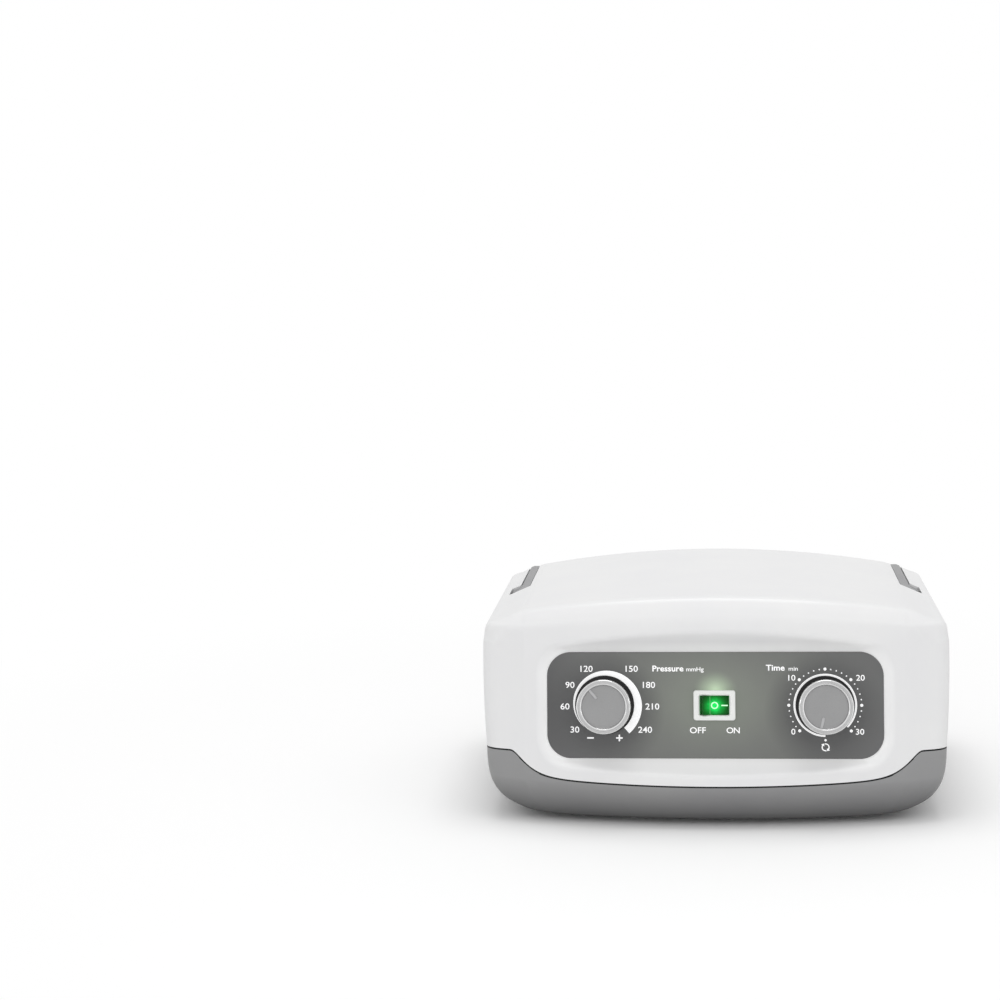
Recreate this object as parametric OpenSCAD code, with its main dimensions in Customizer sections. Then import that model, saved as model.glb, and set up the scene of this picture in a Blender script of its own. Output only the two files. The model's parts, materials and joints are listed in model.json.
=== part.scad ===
// Control unit of a compression therapy pump: a two-part moulded housing with a recessed front panel,
// a pressure knob, a timer knob, a lit rocker switch and a carry handle that folds into the shoulders.
// Millimetres. X runs to the right, Y to the back, Z up. Y = 0 is first the foremost line of the
// housing, and in_place() then moves everything so that the origin is under the middle of the part.

/* [Housing] */
// Full width of the housing
body_w = 238; // [234:1:250]
// Depth of the housing from the foremost line to the rear wall
body_d = 204; // [198:1:208]
// Height of the crown of the cover above the table
body_h = 115.5; // [114.5:0.5:119]
// Height of the housing's bottom above the table
foot_h = 2.5; // [2:0.5:4]
// Wall thickness of both mouldings
wall = 2.8; // [2.6:0.1:3.2]
// Radius of the bow of the front, seen from above
front_bow_r = 400; // [380:10:900]
// How far the front leans back, in degrees
front_lean = 8; // [6:0.5:9]
// Half width of the front between its two soft vertical edges
front_half_w = 97; // [94:0.5:99]
// Rounding of the front corners, seen from above
front_corner_r = 9; // [7:0.5:12]
// Rounding of the rear corners, seen from above
rear_corner_r = 14; // [12:0.5:20]
// Drop of the cover's crown from the middle to its side edges
crown = 8.5; // [6.5:0.5:9]
// Half width of the crown, between the shoulder bevels
crown_half_w = 98.5; // [96:0.5:100]
// Fall of the shoulder bevel over one millimetre of width
bevel_slope = 0.43; // [0.38:0.01:0.48]

/* [Parting line] */
// Height of the parting line in the middle of the front
split_front_z = 21.8; // [20:0.2:24]
// Height of the parting line along the sides
split_side_z = 37; // [34:0.2:39]
// Distance from the middle at which the parting line has reached its side height
split_step_x = 104.3; // [102:0.1:106]
// Length over which the parting line falls from the step
split_step_w = 5.1; // [4:0.1:7]
// Width of the shadow gap between the two mouldings
split_gap = 0.8; // [0.4:0.1:1.2]
// Height of the tongue that locates the cover on the tub
tongue_h = 2.6; // [2:0.1:3]
// Clearance round the tongue
tongue_gap = 0.2; // [0.15:0.05:0.3]

/* [Front panel] */
// Width of the panel
panel_w = 170; // [166:1:172]
// Height of the panel
panel_h = 54; // [52:0.5:55]
// Corner radius of the panel
panel_r = 12.2; // [8:0.2:16]
// Thickness of the panel
panel_t = 1.2; // [0.8:0.1:2]
// Height of the panel's centre above the table
panel_z = 60.4; // [59:0.2:62]
// Distance of the panel's face from the foremost line of the housing
panel_y = 16.4; // [15.6:0.2:18]
// How far the top of the recess flares out
recess_flare_top = 11; // [8:0.5:12]
// How far the bottom of the recess flares out
recess_flare_bottom = 9; // [7:0.5:10]
// How far the sides of the recess flare out
recess_flare_side = 24; // [14:1:28]
// Diameter of the threaded bushes behind the knobs
bush_d = 8; // [7.6:0.1:8.4]

/* [Knobs] */
// Diameter of a knob
knob_d = 27.8; // [26:0.2:29]
// Height of a knob
knob_h = 13; // [12:0.5:14]
// Diameter of the sunk face of a knob
knob_face_d = 22; // [20:0.2:23]
// Distance of each knob from the middle of the panel
knob_x = 55.7; // [54:0.1:57]
// Diameter of a spindle
spindle_d = 6; // [5:0.5:7]
// Outer diameter of the ring under a knob
ring_d = 29.8; // [29:0.1:31]
// Thickness of the ring under a knob
ring_t = 0.8; // [0.6:0.1:1]
// Angle of the pressure knob's pointer, anticlockwise from the right
pressure_mark = 130; // [0:5:360]
// Angle of the timer knob's pointer, anticlockwise from the right
timer_mark = 256; // [0:1:360]

/* [Rocker switch] */
// Width of the switch bezel
bezel_w = 21.2; // [20:0.2:23]
// Height of the switch bezel
bezel_h = 15.3; // [14.5:0.1:16.5]
// Width of the rocker
rocker_w = 14.4; // [13:0.2:15]
// Height of the rocker
rocker_h = 9.5; // [8.5:0.1:10]
// Angle of the rocker either side of its middle position
rocker_tilt = 10; // [8:0.5:12]

/* [Handle] */
// Distance of the handle's arms from the middle, to the centre of an arm
arm_x = 103.4; // [102.8:0.1:104]
// Width of an arm
arm_w = 5.6; // [5:0.2:6]
// Height of an arm
arm_h = 9; // [8:0.2:10]
// Distance of the handle's pivot from the foremost line of the housing
pivot_y = 123; // [118:1:128]
// Distance of the handle's pivot below the side edges of the crown
pivot_drop = 7.8; // [7.6:0.2:8.6]
// Length of the block outside each arm, behind the pivot
block_l = 10; // [6:0.5:14]
// Diameter of the pivot pins
pin_d = 4; // [3:0.2:4.6]
// Thickness of the grip from front to back
grip_t = 14; // [12:0.5:15]
// Height of the grip
grip_h = 15; // [13:0.5:16]
// Clearance round the folded handle
handle_gap = 0.6; // [0.5:0.1:0.9]
// Width of the finger hollow under the grip
finger_w = 92; // [80:1:100]
// Height of the finger hollow
finger_h = 20; // [18:0.5:21]
// Depth of the finger hollow
finger_d = 16; // [14:0.5:18]

/* [Rear] */
// Diameter of an air port
port_d = 6.4; // [5:0.1:7]
// Distance between neighbouring air ports
port_pitch = 9.5; // [9:0.1:10]
// Depth of an air port
port_depth = 12; // [8:0.5:13]
// Distance of the left air socket from the middle
socket_left_x = 8; // [7:0.5:10]
// Distance of the right air socket from the middle
socket_right_x = 66; // [64:0.5:68]
// Height of the air sockets and the mains inlet
socket_z = 46; // [44:0.5:48]
// Distance of the mains inlet from the middle
inlet_x = -78; // [-80:0.5:-76]

/* [Inside] */
// Length of the air compressor's case
compressor_l = 76; // [70:1:78]
// Width of the air compressor's case
compressor_w = 66; // [60:1:68]
// Height of the air compressor's case
compressor_h = 52; // [46:1:54]
// Outer diameter of the rotary distributor
distributor_d = 50; // [46:1:52]
// Outer diameter of the silicone hoses
hose_d = 8; // [7.6:0.1:9]
// Bore of the silicone hoses
hose_bore = 5.2; // [4.8:0.1:5.6]

/* [Hidden] */

$fn = 48;
eps = 0.01;

// ---- what follows from the driving sizes ----

half_w = body_w / 2;                       // widest half width, a little under the shoulders
waist_w = half_w - 1.7;                    // half width at the parting line
shoulder_z = body_h - 26;                  // where the walls end and the shoulders start
edge_z = body_h - crown;                   // height of the crown at its side edges
pivot_z = edge_z - pivot_drop;
lean = tan(front_lean);
panel_gap = 0.4;                           // clearance round the panel
knob_lift = 0.4;                           // clearance between a knob and its ring
knob_foot = ring_t + knob_lift;            // height of a knob's foot above the panel
knob_foot_r = knob_d / 2 - 0.7;             // a knob is a little narrower at its foot

// The foremost point is the lower edge of the knobs' faces.
knob_front_y = panel_y - (knob_foot + knob_h) * cos(front_lean) - knob_d / 2 * sin(front_lean);
front_y = min(0, knob_front_y);
mid_y = (front_y + body_d) / 2;

module in_place() translate([0, -mid_y, 0]) children();

// Puts its children on the panel's face: their Z points out of the panel and their Y up along it.
module on_panel(x = 0, up = 0, out = 0)
    translate([0, panel_y, panel_z]) rotate([90 - front_lean, 0, 0]) translate([x, up, out]) children();

// ---- the outer skin of the housing ----

// 1 beside the step of the parting line; towards the middle it falls at first steeply, then ever less.
function step_share(x) = let (u = max(0, split_step_x - abs(x)) / split_step_w) (1 + u) * exp(-u);

split_rise = 2.7;                          // rise of the parting line besides its step
function split_z(x) = let (k = min(1, abs(x) / split_step_x))
    split_front_z + split_rise * k * k + (split_side_z - split_front_z - split_rise) * step_share(x);

// Share of the crown's height at x: 1 in the middle and 0 at the shoulder bevels.
function crown_share(x) = max(0, 1 - pow(x / crown_half_w, 2));

n_bow = 12;
n_face = 4;
n_arc = 6;
n_side = 2;
// Points over the bow lie closer together where the parting line steps up.
function bow_share(i) = i < 4 ? 0.18 * i : 0.72 + 0.28 * (i - 4) / (n_bow - 4);

// Right half of one outline seen from above, from the middle of the front to the middle of the rear:
// a bowed front, a flatter corner face, a rounded corner, a straight side and a rounded rear corner.
function half_outline(a, wf, yf, rc, yb, rr) =
    let (yw = yf + wf * wf / (2 * front_bow_r), yc = yw + (a - rc - wf) * 0.36)
    concat(
        [for (i = [0 : n_bow]) let (x = wf * bow_share(i)) [x, yf + x * x / (2 * front_bow_r)]],
        [for (i = [1 : n_face]) [wf + (a - rc - wf) * i / n_face, yw + (yc - yw) * i / n_face]],
        [for (i = [1 : n_arc]) let (q = 20 + 70 * i / n_arc)
            [a - rc + rc * (sin(q) - sin(20)) / (1 - sin(20)), yc + rc * (cos(20) - cos(q)) / cos(20)]],
        [for (i = [1 : n_side]) [a, yc + rc + (yb - rr - yc - rc) * i / n_side]],
        [for (i = [1 : n_arc]) let (q = 90 * i / n_arc) [a - rr + rr * cos(q), yb - rr + rr * sin(q)]],
        [for (i = [1 : n_side]) [(a - rr) * (1 - i / n_side), yb]]);

// One closed ring of points. A row is [weight of the parting line, height, half width, half width of
// the front, front inset, front corner radius, rear inset, rear corner radius, weight of the crown].
function ring(r) =
    let (h = half_outline(r[2], r[3], r[4], r[5], body_d - r[6], r[7]), n = len(h),
        loop = concat(h, [for (i = [n - 2 : -1 : 1]) [-h[i][0], h[i][1]]]))
    [for (p = loop)
        let (z = r[0] * split_z(p[0]) + (1 - r[0]) * r[1] + (r[0] == 1 ? r[1] : 0)
                + r[8] * crown * crown_share(p[0]),
            back = (p[1] - r[4]) / (body_d - r[6] - r[4]))
        [p[0], p[1] + lean * max(0, z - split_front_z) * (1 - back), z]];

// Joins rings into a closed skin. The first and the last ring are closed by a fan round their middle.
function ring_middle(g) = let (n = len(g)) [0, (g[0][1] + g[n / 2][1]) / 2, g[0][2]];
module skin(rows) {
    rings = [for (r = rows) ring(r)];
    n = len(rings[0]);
    m = len(rings);
    points = concat([for (g = rings) each g], [ring_middle(rings[0])], [ring_middle(rings[m - 1])]);
    polyhedron(points, concat(
        [for (k = [0 : m - 2], i = [0 : n - 1])
            let (j = (i + 1) % n) [k * n + i, k * n + n + i, k * n + j]],
        [for (k = [0 : m - 2], i = [0 : n - 1]) let (j = (i + 1) % n)
            [k * n + j, k * n + n + i, k * n + n + j]],
        [for (i = [0 : n - 1]) [i, (i + 1) % n, m * n]],
        [for (i = [0 : n - 1]) [(m - 1) * n + (i + 1) % n, (m - 1) * n + i, m * n + 1]]));
}

// Half width of the walls at a height: they swell a little towards the shoulders.
swell_z = body_h - 34;
function wall_half_w(z) = half_w - (half_w - waist_w) * pow((z - swell_z) / (swell_z - split_side_z), 2);

// A wall row of the cover, t from 0 at the parting line to 1 at the shoulders, set in by an inset.
function wall_row(t, inset) =
    [1 - t, shoulder_z, wall_half_w(split_side_z + t * (shoulder_z - split_side_z)) - inset,
        front_half_w - inset, inset, front_corner_r - inset / 2, inset, rear_corner_r - inset, 0];

// The rim row of either moulding, a height above or below the parting line.
function rim_row(dz, inset) =
    [1, dz, waist_w - inset, front_half_w - inset, inset, front_corner_r - inset / 2, inset,
        rear_corner_r - inset, 0];

// The rows over the shoulders and the crown: drop is measured down from the side edge of the crown.
function bevel_z(x) = edge_z - (x - crown_half_w) * bevel_slope;
function shoulder_rows(inset) = [
    [0, shoulder_z + 3 - inset * 0.2, half_w - 0.6 - inset, front_half_w - inset, inset,
        front_corner_r - inset / 2, 0.2 + inset, rear_corner_r - inset, 0.15],
    [0, bevel_z(half_w - 2) - 2 - inset * 0.6, half_w - 1.6 - inset, front_half_w - inset, 0.2 + inset,
        front_corner_r - inset / 2, 0.6 + inset, rear_corner_r - inset, 0.5],
    [0, bevel_z(half_w - 3.6) - 0.5 - inset, half_w - 3.6 - inset * 0.8, front_half_w - inset,
        0.6 + inset, front_corner_r - 1 - inset / 2, 1.2 + inset, rear_corner_r - 1 - inset, 0.66],
    [0, bevel_z(half_w - 7.5) - inset, half_w - 7.5 - inset * 0.6, front_half_w - 0.5 - inset,
        1.7 + inset, front_corner_r - 2 - inset / 2, 2 + inset, rear_corner_r - 2 - inset, 0.8],
    [0, bevel_z(half_w - 13) - inset, half_w - 13 - inset * 0.5, front_half_w - 1 - inset,
        3.4 + inset, front_corner_r - 3 - inset / 2, 3 + inset, rear_corner_r - 4 - inset, 0.91],
    [0, edge_z - 0.7 - inset, crown_half_w + 1.6 - inset * 0.4, front_half_w - 2 - inset, 5.8 + inset,
        4 - inset / 2, 4.4 + inset, 7 - inset / 2, 0.975],
    [0, edge_z - inset, crown_half_w - 1.2 - inset * 0.4, front_half_w - 4.5 - inset, 9 + inset,
        3.6 - inset / 2, 6.5 + inset, 6 - inset / 2, 1]];
crown_steps = [0.82, 0.6, 0.35, 0.12];
function crown_rows(inset) = [for (k = crown_steps)
    [0, edge_z - inset, (crown_half_w - 1.2 - inset * 0.4) * k, (front_half_w - 4.5 - inset) * k,
        9 + inset + (body_d / 2 - 9) * (1 - k) * 0.9, (3.6 - inset / 2) * k,
        6.5 + inset + (body_d / 2 - 6.5) * (1 - k) * 0.9, (6 - inset / 2) * k, 1]];

cover_walls = [0.2, 0.4, 0.6, 0.8, 1];
function cover_outer() = concat([for (t = cover_walls) wall_row(t, 0)], shoulder_rows(0), crown_rows(0));

rebate = wall / 2 - tongue_gap / 2;        // depth of the rebate that takes the tongue
tongue_in = wall / 2 + tongue_gap / 2;
seat_gap = 0.3;

// The whole cover as a closed body, for trimming what is inside it.
module cover_solid() skin(concat([rim_row(split_gap / 2, 0)], cover_outer()));

// What the cover leaves free inside, and the rebate round its rim.
module cover_cavity() {
    skin(concat([rim_row(-4, wall)], [rim_row(tongue_h + seat_gap, wall)],
        [for (t = [0.4, 1]) wall_row(t, wall)],
        [for (i = [1, 3, 6]) shoulder_rows(wall)[i]], crown_rows(wall)));
    skin([rim_row(-4, rebate), rim_row(tongue_h + seat_gap, rebate)]);
}

// Rows of the tub from its flat bottom to the parting line, with wide rounded edges all round. The
// side edges are fuller than a quarter of an ellipse, the front and rear edges are quarter ellipses.
tub_side_r = 38;
tub_front_r = 13;
tub_rows = 7;
function full_edge(s) = 1 - pow(1 - pow(s, 3), 1 / 3);
function tub_row(q, inset, floor_z) =
    let (side = full_edge(sin(q)), end = 1 - cos(q))
    [1 - sin(q), floor_z, waist_w - tub_side_r * side - inset, front_half_w - tub_side_r * side - inset,
        tub_front_r * end + inset, front_corner_r + 10 * end - inset / 2, tub_front_r * end + inset,
        rear_corner_r + 4 * end - inset, 0];
function tub_rows_list(inset, floor_z) =
    [for (i = [tub_rows : -1 : 1]) tub_row(90 * i / tub_rows, inset, floor_z)];

floor_z = foot_h + wall;
module tub_solid() skin(concat(tub_rows_list(0, foot_h), [rim_row(-split_gap / 2, 0)]));
module tub_cavity() skin(concat(tub_rows_list(wall, floor_z), [rim_row(5, wall)]));
module tub_tongue() skin([rim_row(-3, tongue_in), rim_row(tongue_h, tongue_in)]);

// ---- cut-outs and their linings ----

// A flat rectangle with rounded corners.
module rounded(w, h, r) {
    square([w - 2 * r, h], center = true);
    square([w, h - 2 * r], center = true);
    for (x = [-1, 1])
        for (y = [-1, 1])
            translate([x * (w / 2 - r), y * (h / 2 - r)]) circle(r);
}

// Outline of the panel grown by a margin, and moved or stretched for the flare of the recess.
module panel_outline(grow, top = 0, bottom = 0, side = 0) {
    w = panel_w / 2 + grow + side;
    up = panel_h / 2 + grow + top;
    down = panel_h / 2 + grow + bottom;
    r = panel_r + grow;
    hull() {
        for (s = [-1, 1]) {
            translate([s * (w - r), up - r]) circle(r);
            translate([s * (w - r), -down + r]) circle(r);
        }
    }
}

flare_h = 12;                              // height over which the stated flares open
// The recess in front of the panel, grown by a margin for its lining.
module recess(grow, floor) {
    hull() {
        on_panel(out = floor) linear_extrude(eps) panel_outline(panel_gap + grow);
        on_panel(out = flare_h) linear_extrude(eps)
            panel_outline(panel_gap + grow, recess_flare_top, recess_flare_bottom, recess_flare_side);
    }
}

channel_w = arm_w + 2 * handle_gap;
barrel_r = 4.6;
barrel_out = arm_x + arm_w / 2 + 5;        // outer end of the pivot barrel
arm_top = pivot_z + barrel_r;
ledge_z = arm_top - arm_h - 7.5;           // floor of the step that takes the grip
grip_bottom = ledge_z + 1.2;
grip_back = body_d - 1.6;
grip_front = grip_back - grip_t;
// The grip swings past the rear edge of the crown, so the step's front wall keeps clear of that arc.
ledge_y = pivot_y + sqrt(pow(grip_front - pivot_y, 2) - pow(body_h - pivot_z, 2)) - handle_gap;
finger_z = ledge_z - finger_h;

// The handle's channels, the step for the grip and the finger hollow, grown by a wall for the lining.
module handle_room(grow) {
    g = grow;
    for (s = [-1, 1]) {
        translate([s * arm_x - channel_w / 2 - g, pivot_y - barrel_r - handle_gap - g,
            arm_top - arm_h - handle_gap - g])
            cube([channel_w + 2 * g, body_d - pivot_y + barrel_r + 20 + 2 * g, 40]);
        translate([s > 0 ? arm_x - g : -barrel_out - handle_gap - g,
            pivot_y - barrel_r - handle_gap - g, pivot_z - barrel_r - handle_gap - g])
            cube([barrel_out - arm_x + handle_gap + 2 * g, barrel_r + block_l + 2 * (handle_gap + g), 40]);
    }
    translate([-arm_x - channel_w / 2 - g, ledge_y - g, ledge_z - g])
        cube([2 * arm_x + channel_w + 2 * g, 60, 60]);
    hull() {
        for (x = [-1, 1], z = [finger_z + 5, ledge_z + 5]) {
            translate([x * (finger_w / 2 - 5), body_d - finger_d - g, z])
                rotate([-90, 0, 0]) cylinder(r = 5 + g, h = 50, $fn = 32);
        }
    }
}

socket_body_w = 3 * port_pitch + port_d + 2.4;
socket_body_h = port_d + 3.6;
socket_w = socket_body_w + 13;
socket_h = 13;
socket_plate = 1.6;                        // thickness of the flange of a socket or inlet
socket_l = port_depth + 2;
inlet_body_w = 20.4;
inlet_body_h = 11.4;
inlet_w = inlet_body_w + 11;
inlet_h = 14;
inlet_l = 18;
inlet_room = 13;                           // depth of the space for the plug
pin_pitch = 8.6;
rear_play = 0.2;                           // clearance round what is set into the rear wall
small_screw_r = 1.2;
module rear_box(x, w, h, grow, front, back)
    translate([x - w / 2 - grow, front, socket_z - h / 2 - grow])
        cube([w + 2 * grow, back - front, h + 2 * grow]);

// The seats, the screws and the screw bosses behind each flange in the rear wall.
module at_flange_screws()
    for (f = [[socket_left_x, socket_w], [socket_right_x, socket_w], [inlet_x, inlet_w]])
        for (s = [-1, 1])
            translate([f[0] + s * (f[1] / 2 - 3.2), body_d, socket_z]) rotate([90, 0, 0]) children();

vent_w = 2.2;
vent_count = 9;
vent_pitch = 4.6;
vent_h = 18;
vent_x = -39;
module slot(x, y, z, turn, length)
    hull()
        for (s = [-1, 1])
            translate([x, y, z]) rotate(turn) translate([0, s * length / 2, 0])
                cylinder(d = vent_w, h = 9, $fn = 16);
module rear_vents()
    for (i = [0 : vent_count - 1])
        slot(vent_x + (i - (vent_count - 1) / 2) * vent_pitch, body_d + 3, socket_z - 3, [90, 0, 0],
            vent_h);
module floor_vents()
    for (i = [0 : vent_count - 1])
        slot(37 + (i - (vent_count - 1) / 2) * vent_pitch, 66, foot_h - 3, [0, 0, 0], vent_h);

post_x = 88;
post_front_y = 44;
post_back_y = body_d - 42;
post_r = 4.5;
tub_post_r = 5.2;
post_meet_z = 24;                          // where the posts of the two mouldings meet
screw_r = 1.5;
screw_head_r = 3.2;
screw_head_h = 2.2;
screw_seat_z = 12;
screw_end_z = 36;
module at_posts()
    for (x = [-1, 1])
        for (y = [post_front_y, post_back_y])
            translate([x * post_x, y, 0]) children();

foot_x = 62;
foot_y = 34;
foot_r = 9;
foot_stem_r = 3;
foot_stem_h = 2;
module at_feet()
    for (x = [-1, 1])
        for (y = [foot_y, body_d - foot_y])
            translate([x * foot_x, y, 0]) children();

// ---- where the inner pieces stand ----

compressor_x = -100 + 33;
compressor_y = (post_front_y + post_back_y) / 2 + 3;
compressor_z = 16;
head_t = 10;                               // thickness of a valve head
head_w = 40;
rod_r = 3;
rod_play = 0.3;
stroke = 2.5;                              // travel of the armature either side of its middle
disc_r = 12;
disc_t = 1.5;
disc_in = compressor_l / 2 + stroke + 0.3;
magnet = [18, 36, 12];
air_y = compressor_y + 6;                  // line of the supply hoses
air_z = 46;
nipple_r = hose_bore / 2 - 0.1;
tee_x = -8;
tee_r = 4.2;
tee_half = 6;
bend_r = 14;
reg_y = 38;                                // where the regulator's side nipple is
dist_x = 37;
dist_r = distributor_d / 2;
motor_z = 20;
dist_z = 39;
dist_h = 21;
rotor_r = dist_r - 5;
rotor_z = dist_z + 11;
rotor_h = 5;
rotor_play = 0.35;
outlet_pitch = 9;
outlet_z = 49;
manifold_t = 10;
manifold_back = body_d - socket_l;
manifold_front = manifold_back - manifold_t;
manifold_left = socket_left_x - socket_body_w / 2;
manifold_right = socket_right_x + socket_body_w / 2;
buffer_r = 6;
buffer_foot_z = 9;
buffer_dx = compressor_w / 2 - 12;
buffer_dy = compressor_l / 2 - 12;
module at_buffers()
    for (x = [-1, 1])
        for (y = [-1, 1])
            translate([compressor_x + x * buffer_dx, compressor_y + y * buffer_dy, 0]) children();
motor_leg_x = 17;
module at_motor_legs()
    for (x = [-1, 1])
        translate([dist_x + x * motor_leg_x, air_y, 0]) children();

module tube_x(x0, x1, y, z, r) translate([x0, y, z]) rotate([0, 90, 0]) cylinder(r = r, h = x1 - x0);
module tube_y(y0, y1, x, z, r) translate([x, y0, z]) rotate([-90, 0, 0]) cylinder(r = r, h = y1 - y0);
module box_to(a, b) translate(a) cube(b - a);

// ---- housing ----

module cover_shell() {
    difference() {
        cover_solid();
        cover_cavity();
    }
    intersection() {
        cover_solid();
        union() {
            difference() {
                recess(wall, -panel_t - wall);
                box_to([-half_w, 0, 0], [half_w, 4, split_front_z + 2]);
            }
            handle_room(wall - 0.4);
            at_posts() translate([0, 0, post_meet_z]) cylinder(r = post_r, h = body_h, $fn = 24);
            at_flange_screws() cylinder(r = 3, h = 11, $fn = 20);
        }
    }
}

module upper_housing() color("white") in_place() difference() {
    cover_shell();
    recess(0, -panel_t);
    handle_room(0);
    for (s = [-1, 1]) {
        on_panel(s * knob_x, 0, -20) cylinder(d = bush_d + 0.8, h = 40, $fn = 32);
        tube_x(s > 0 ? arm_x - 8 : -arm_x, s > 0 ? arm_x : -arm_x + 8, pivot_y, pivot_z, pin_d / 2 + 0.05);
    }
    on_panel() cube([bezel_w - 1.8, bezel_h - 1.8, 40], center = true);
    for (x = [socket_left_x, socket_right_x]) {
        rear_box(x, socket_w, socket_h, rear_play, body_d - socket_plate, body_d + 5);
        rear_box(x, socket_body_w, socket_body_h, rear_play, body_d - 20, body_d + 5);
    }
    rear_box(inlet_x, inlet_w, inlet_h, rear_play, body_d - socket_plate, body_d + 5);
    rear_box(inlet_x, inlet_body_w, inlet_body_h, rear_play, body_d - 20, body_d + 5);
    at_flange_screws() cylinder(r = small_screw_r + 0.05, h = 9.4, $fn = 20);
    at_posts() translate([0, 0, post_meet_z - 1]) cylinder(r = screw_r + 0.05, h = 15, $fn = 20);
    rear_vents();
}

module tub_shell() {
    difference() {
        union() {
            tub_solid();
            tub_tongue();
        }
        tub_cavity();
    }
    intersection() {
        tub_solid();
        union() {
            at_posts() cylinder(r = tub_post_r, h = post_meet_z, $fn = 28);
            at_buffers() cylinder(r = buffer_r + 1, h = buffer_foot_z, $fn = 28);
            at_motor_legs() cylinder(r = 5, h = motor_z, $fn = 24);
        }
    }
}

module lower_housing() color("gray") in_place() difference() {
    tub_shell();
    at_posts() {
        cylinder(r = screw_head_r + 0.4, h = screw_seat_z, $fn = 28);
        cylinder(r = screw_r + 0.25, h = post_meet_z + 5, $fn = 20);
    }
    at_feet() cylinder(r = foot_stem_r + 0.1, h = foot_h + foot_stem_h + 0.2, $fn = 24);
    floor_vents();
}

module rubber_feet() color("dimgray") in_place() at_feet() {
    rotate_extrude() polygon([[0, 0], [foot_r - 1.2, 0], [foot_r, 1], [foot_r, foot_h], [0, foot_h]]);
    translate([0, 0, foot_h]) cylinder(r = foot_stem_r, h = foot_stem_h);
}

module housing_screws() color("silver") in_place() at_posts() difference() {
    union() {
        translate([0, 0, screw_seat_z - screw_head_h]) cylinder(r = screw_head_r, h = screw_head_h);
        translate([0, 0, screw_seat_z]) cylinder(r = screw_r, h = screw_end_z - screw_seat_z);
    }
    for (turn = [0, 90])
        translate([0, 0, screw_seat_z - screw_head_h]) rotate([0, 0, turn])
            cube([3.4, 0.8, 2], center = true);
}

// ---- front panel, knobs and switch ----

switch_body_w = bezel_w - 2.4;
switch_body_h = bezel_h - 2.5;
switch_l = 18;
blade_l = 9;
bezel_t = 2;

module fascia_panel() color("dimgray") in_place() on_panel(0, 0, -panel_t) difference() {
    linear_extrude(panel_t) rounded(panel_w, panel_h, panel_r);
    for (s = [-1, 1])
        translate([s * knob_x, 0, -1]) cylinder(d = bush_d + 0.6, h = panel_t + 2);
    cube([switch_body_w + 0.4, switch_body_h + 0.4, 9], center = true);
}

module knob_rings() color("black") in_place()
    for (s = [-1, 1])
        on_panel(s * knob_x) difference() {
            cylinder(d = ring_d, h = ring_t);
            translate([0, 0, -1]) cylinder(r = knob_foot_r - 1.6, h = ring_t + 2);
        }

nut_h = 2.2;
nut_r = bush_d / 2 + 2.4;
module spindle_nuts() color("silver") in_place()
    for (s = [-1, 1])
        on_panel(s * knob_x) difference() {
            linear_extrude(nut_h) circle(r = nut_r, $fn = 6);
            translate([0, 0, -1]) cylinder(d = bush_d + 0.1, h = nut_h + 2);
        }

bush_l = 3.6;                              // how far a bush stands out of the panel
knob_room_r = nut_r + 1.4;
knob_room_h = 5;
knob_face_r = knob_face_d / 2;
face_sunk = 1.6;                           // depth of the sunk face
face_h = knob_h - face_sunk;
spindle_r = spindle_d / 2;
spindle_end = 9.5;                         // height of a spindle's end in its knob
flat_x = spindle_r - 1;                    // distance of the spindle's flat from its axis
// A turned knob: skirt that widens to the front, rounded rim, sunk face and a raised pointer bar.
module knob(mark) difference() {
    union() {
        rotate_extrude() polygon([[0, 0], [knob_foot_r, 0], [knob_foot_r, 1], [knob_d / 2, knob_h - 1.5],
            [knob_d / 2 - 0.2, knob_h - 0.6], [knob_d / 2 - 1.1, knob_h - 0.4],
            [knob_d / 2 - 1.6, knob_h], [knob_face_r + 0.6, knob_h], [knob_face_r + 0.1, face_h + 0.2],
            [knob_face_r, face_h], [0, face_h]]);
        rotate([0, 0, mark]) translate([5.3, -0.8, face_h - 1]) cube([5.9, 1.6, 1.7]);
    }
    translate([0, 0, -1]) cylinder(r = knob_room_r, h = knob_room_h + 1);
    difference() {
        cylinder(r = spindle_r + 0.03, h = spindle_end + 0.3);
        translate([flat_x + 0.03, -5, knob_room_h]) cube([5, 10, 9]);
    }
}

// A spindle with a flat for its knob, its end well inside the movement behind the panel.
module spindle() difference() {
    translate([0, 0, -12]) cylinder(r = spindle_r, h = 12 + knob_foot + spindle_end);
    translate([flat_x, -5, knob_foot + knob_room_h - 0.2]) cube([5, 10, 9]);
}

module pressure_knob() color("silver") in_place() on_panel(-knob_x, 0, knob_foot) knob(pressure_mark);
module timer_knob() color("silver") in_place() on_panel(knob_x, 0, knob_foot) knob(timer_mark);
module pressure_spindle() color("silver") in_place() on_panel(-knob_x) spindle();
module timer_spindle() color("silver") in_place() on_panel(knob_x) spindle();

behind = panel_t + wall;                   // depth from the panel's face to the back of its carrier
spindle_play = 0.08;
module bush() difference() {
    translate([0, 0, -behind - 1]) cylinder(d = bush_d, h = behind + 1 + bush_l);
    translate([0, 0, -13]) cylinder(r = spindle_r + spindle_play, h = 20);
}

reg_w = 26;
reg_up = 18;
reg_l = 32;
module pressure_regulator() color("gray") in_place() {
    on_panel(-knob_x) {
        bush();
        difference() {
            box_to([-reg_w / 2, -reg_up, -reg_l], [reg_w / 2, reg_up, -behind]);
            translate([0, 0, -13]) cylinder(r = spindle_r + spindle_play, h = 20);
        }
        translate([0, 0, -reg_l - 4]) cylinder(r = 8, h = 5);
    }
    tube_x(-knob_x, -knob_x + reg_w / 2 + 7, reg_y, air_z, nipple_r);
}

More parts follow.
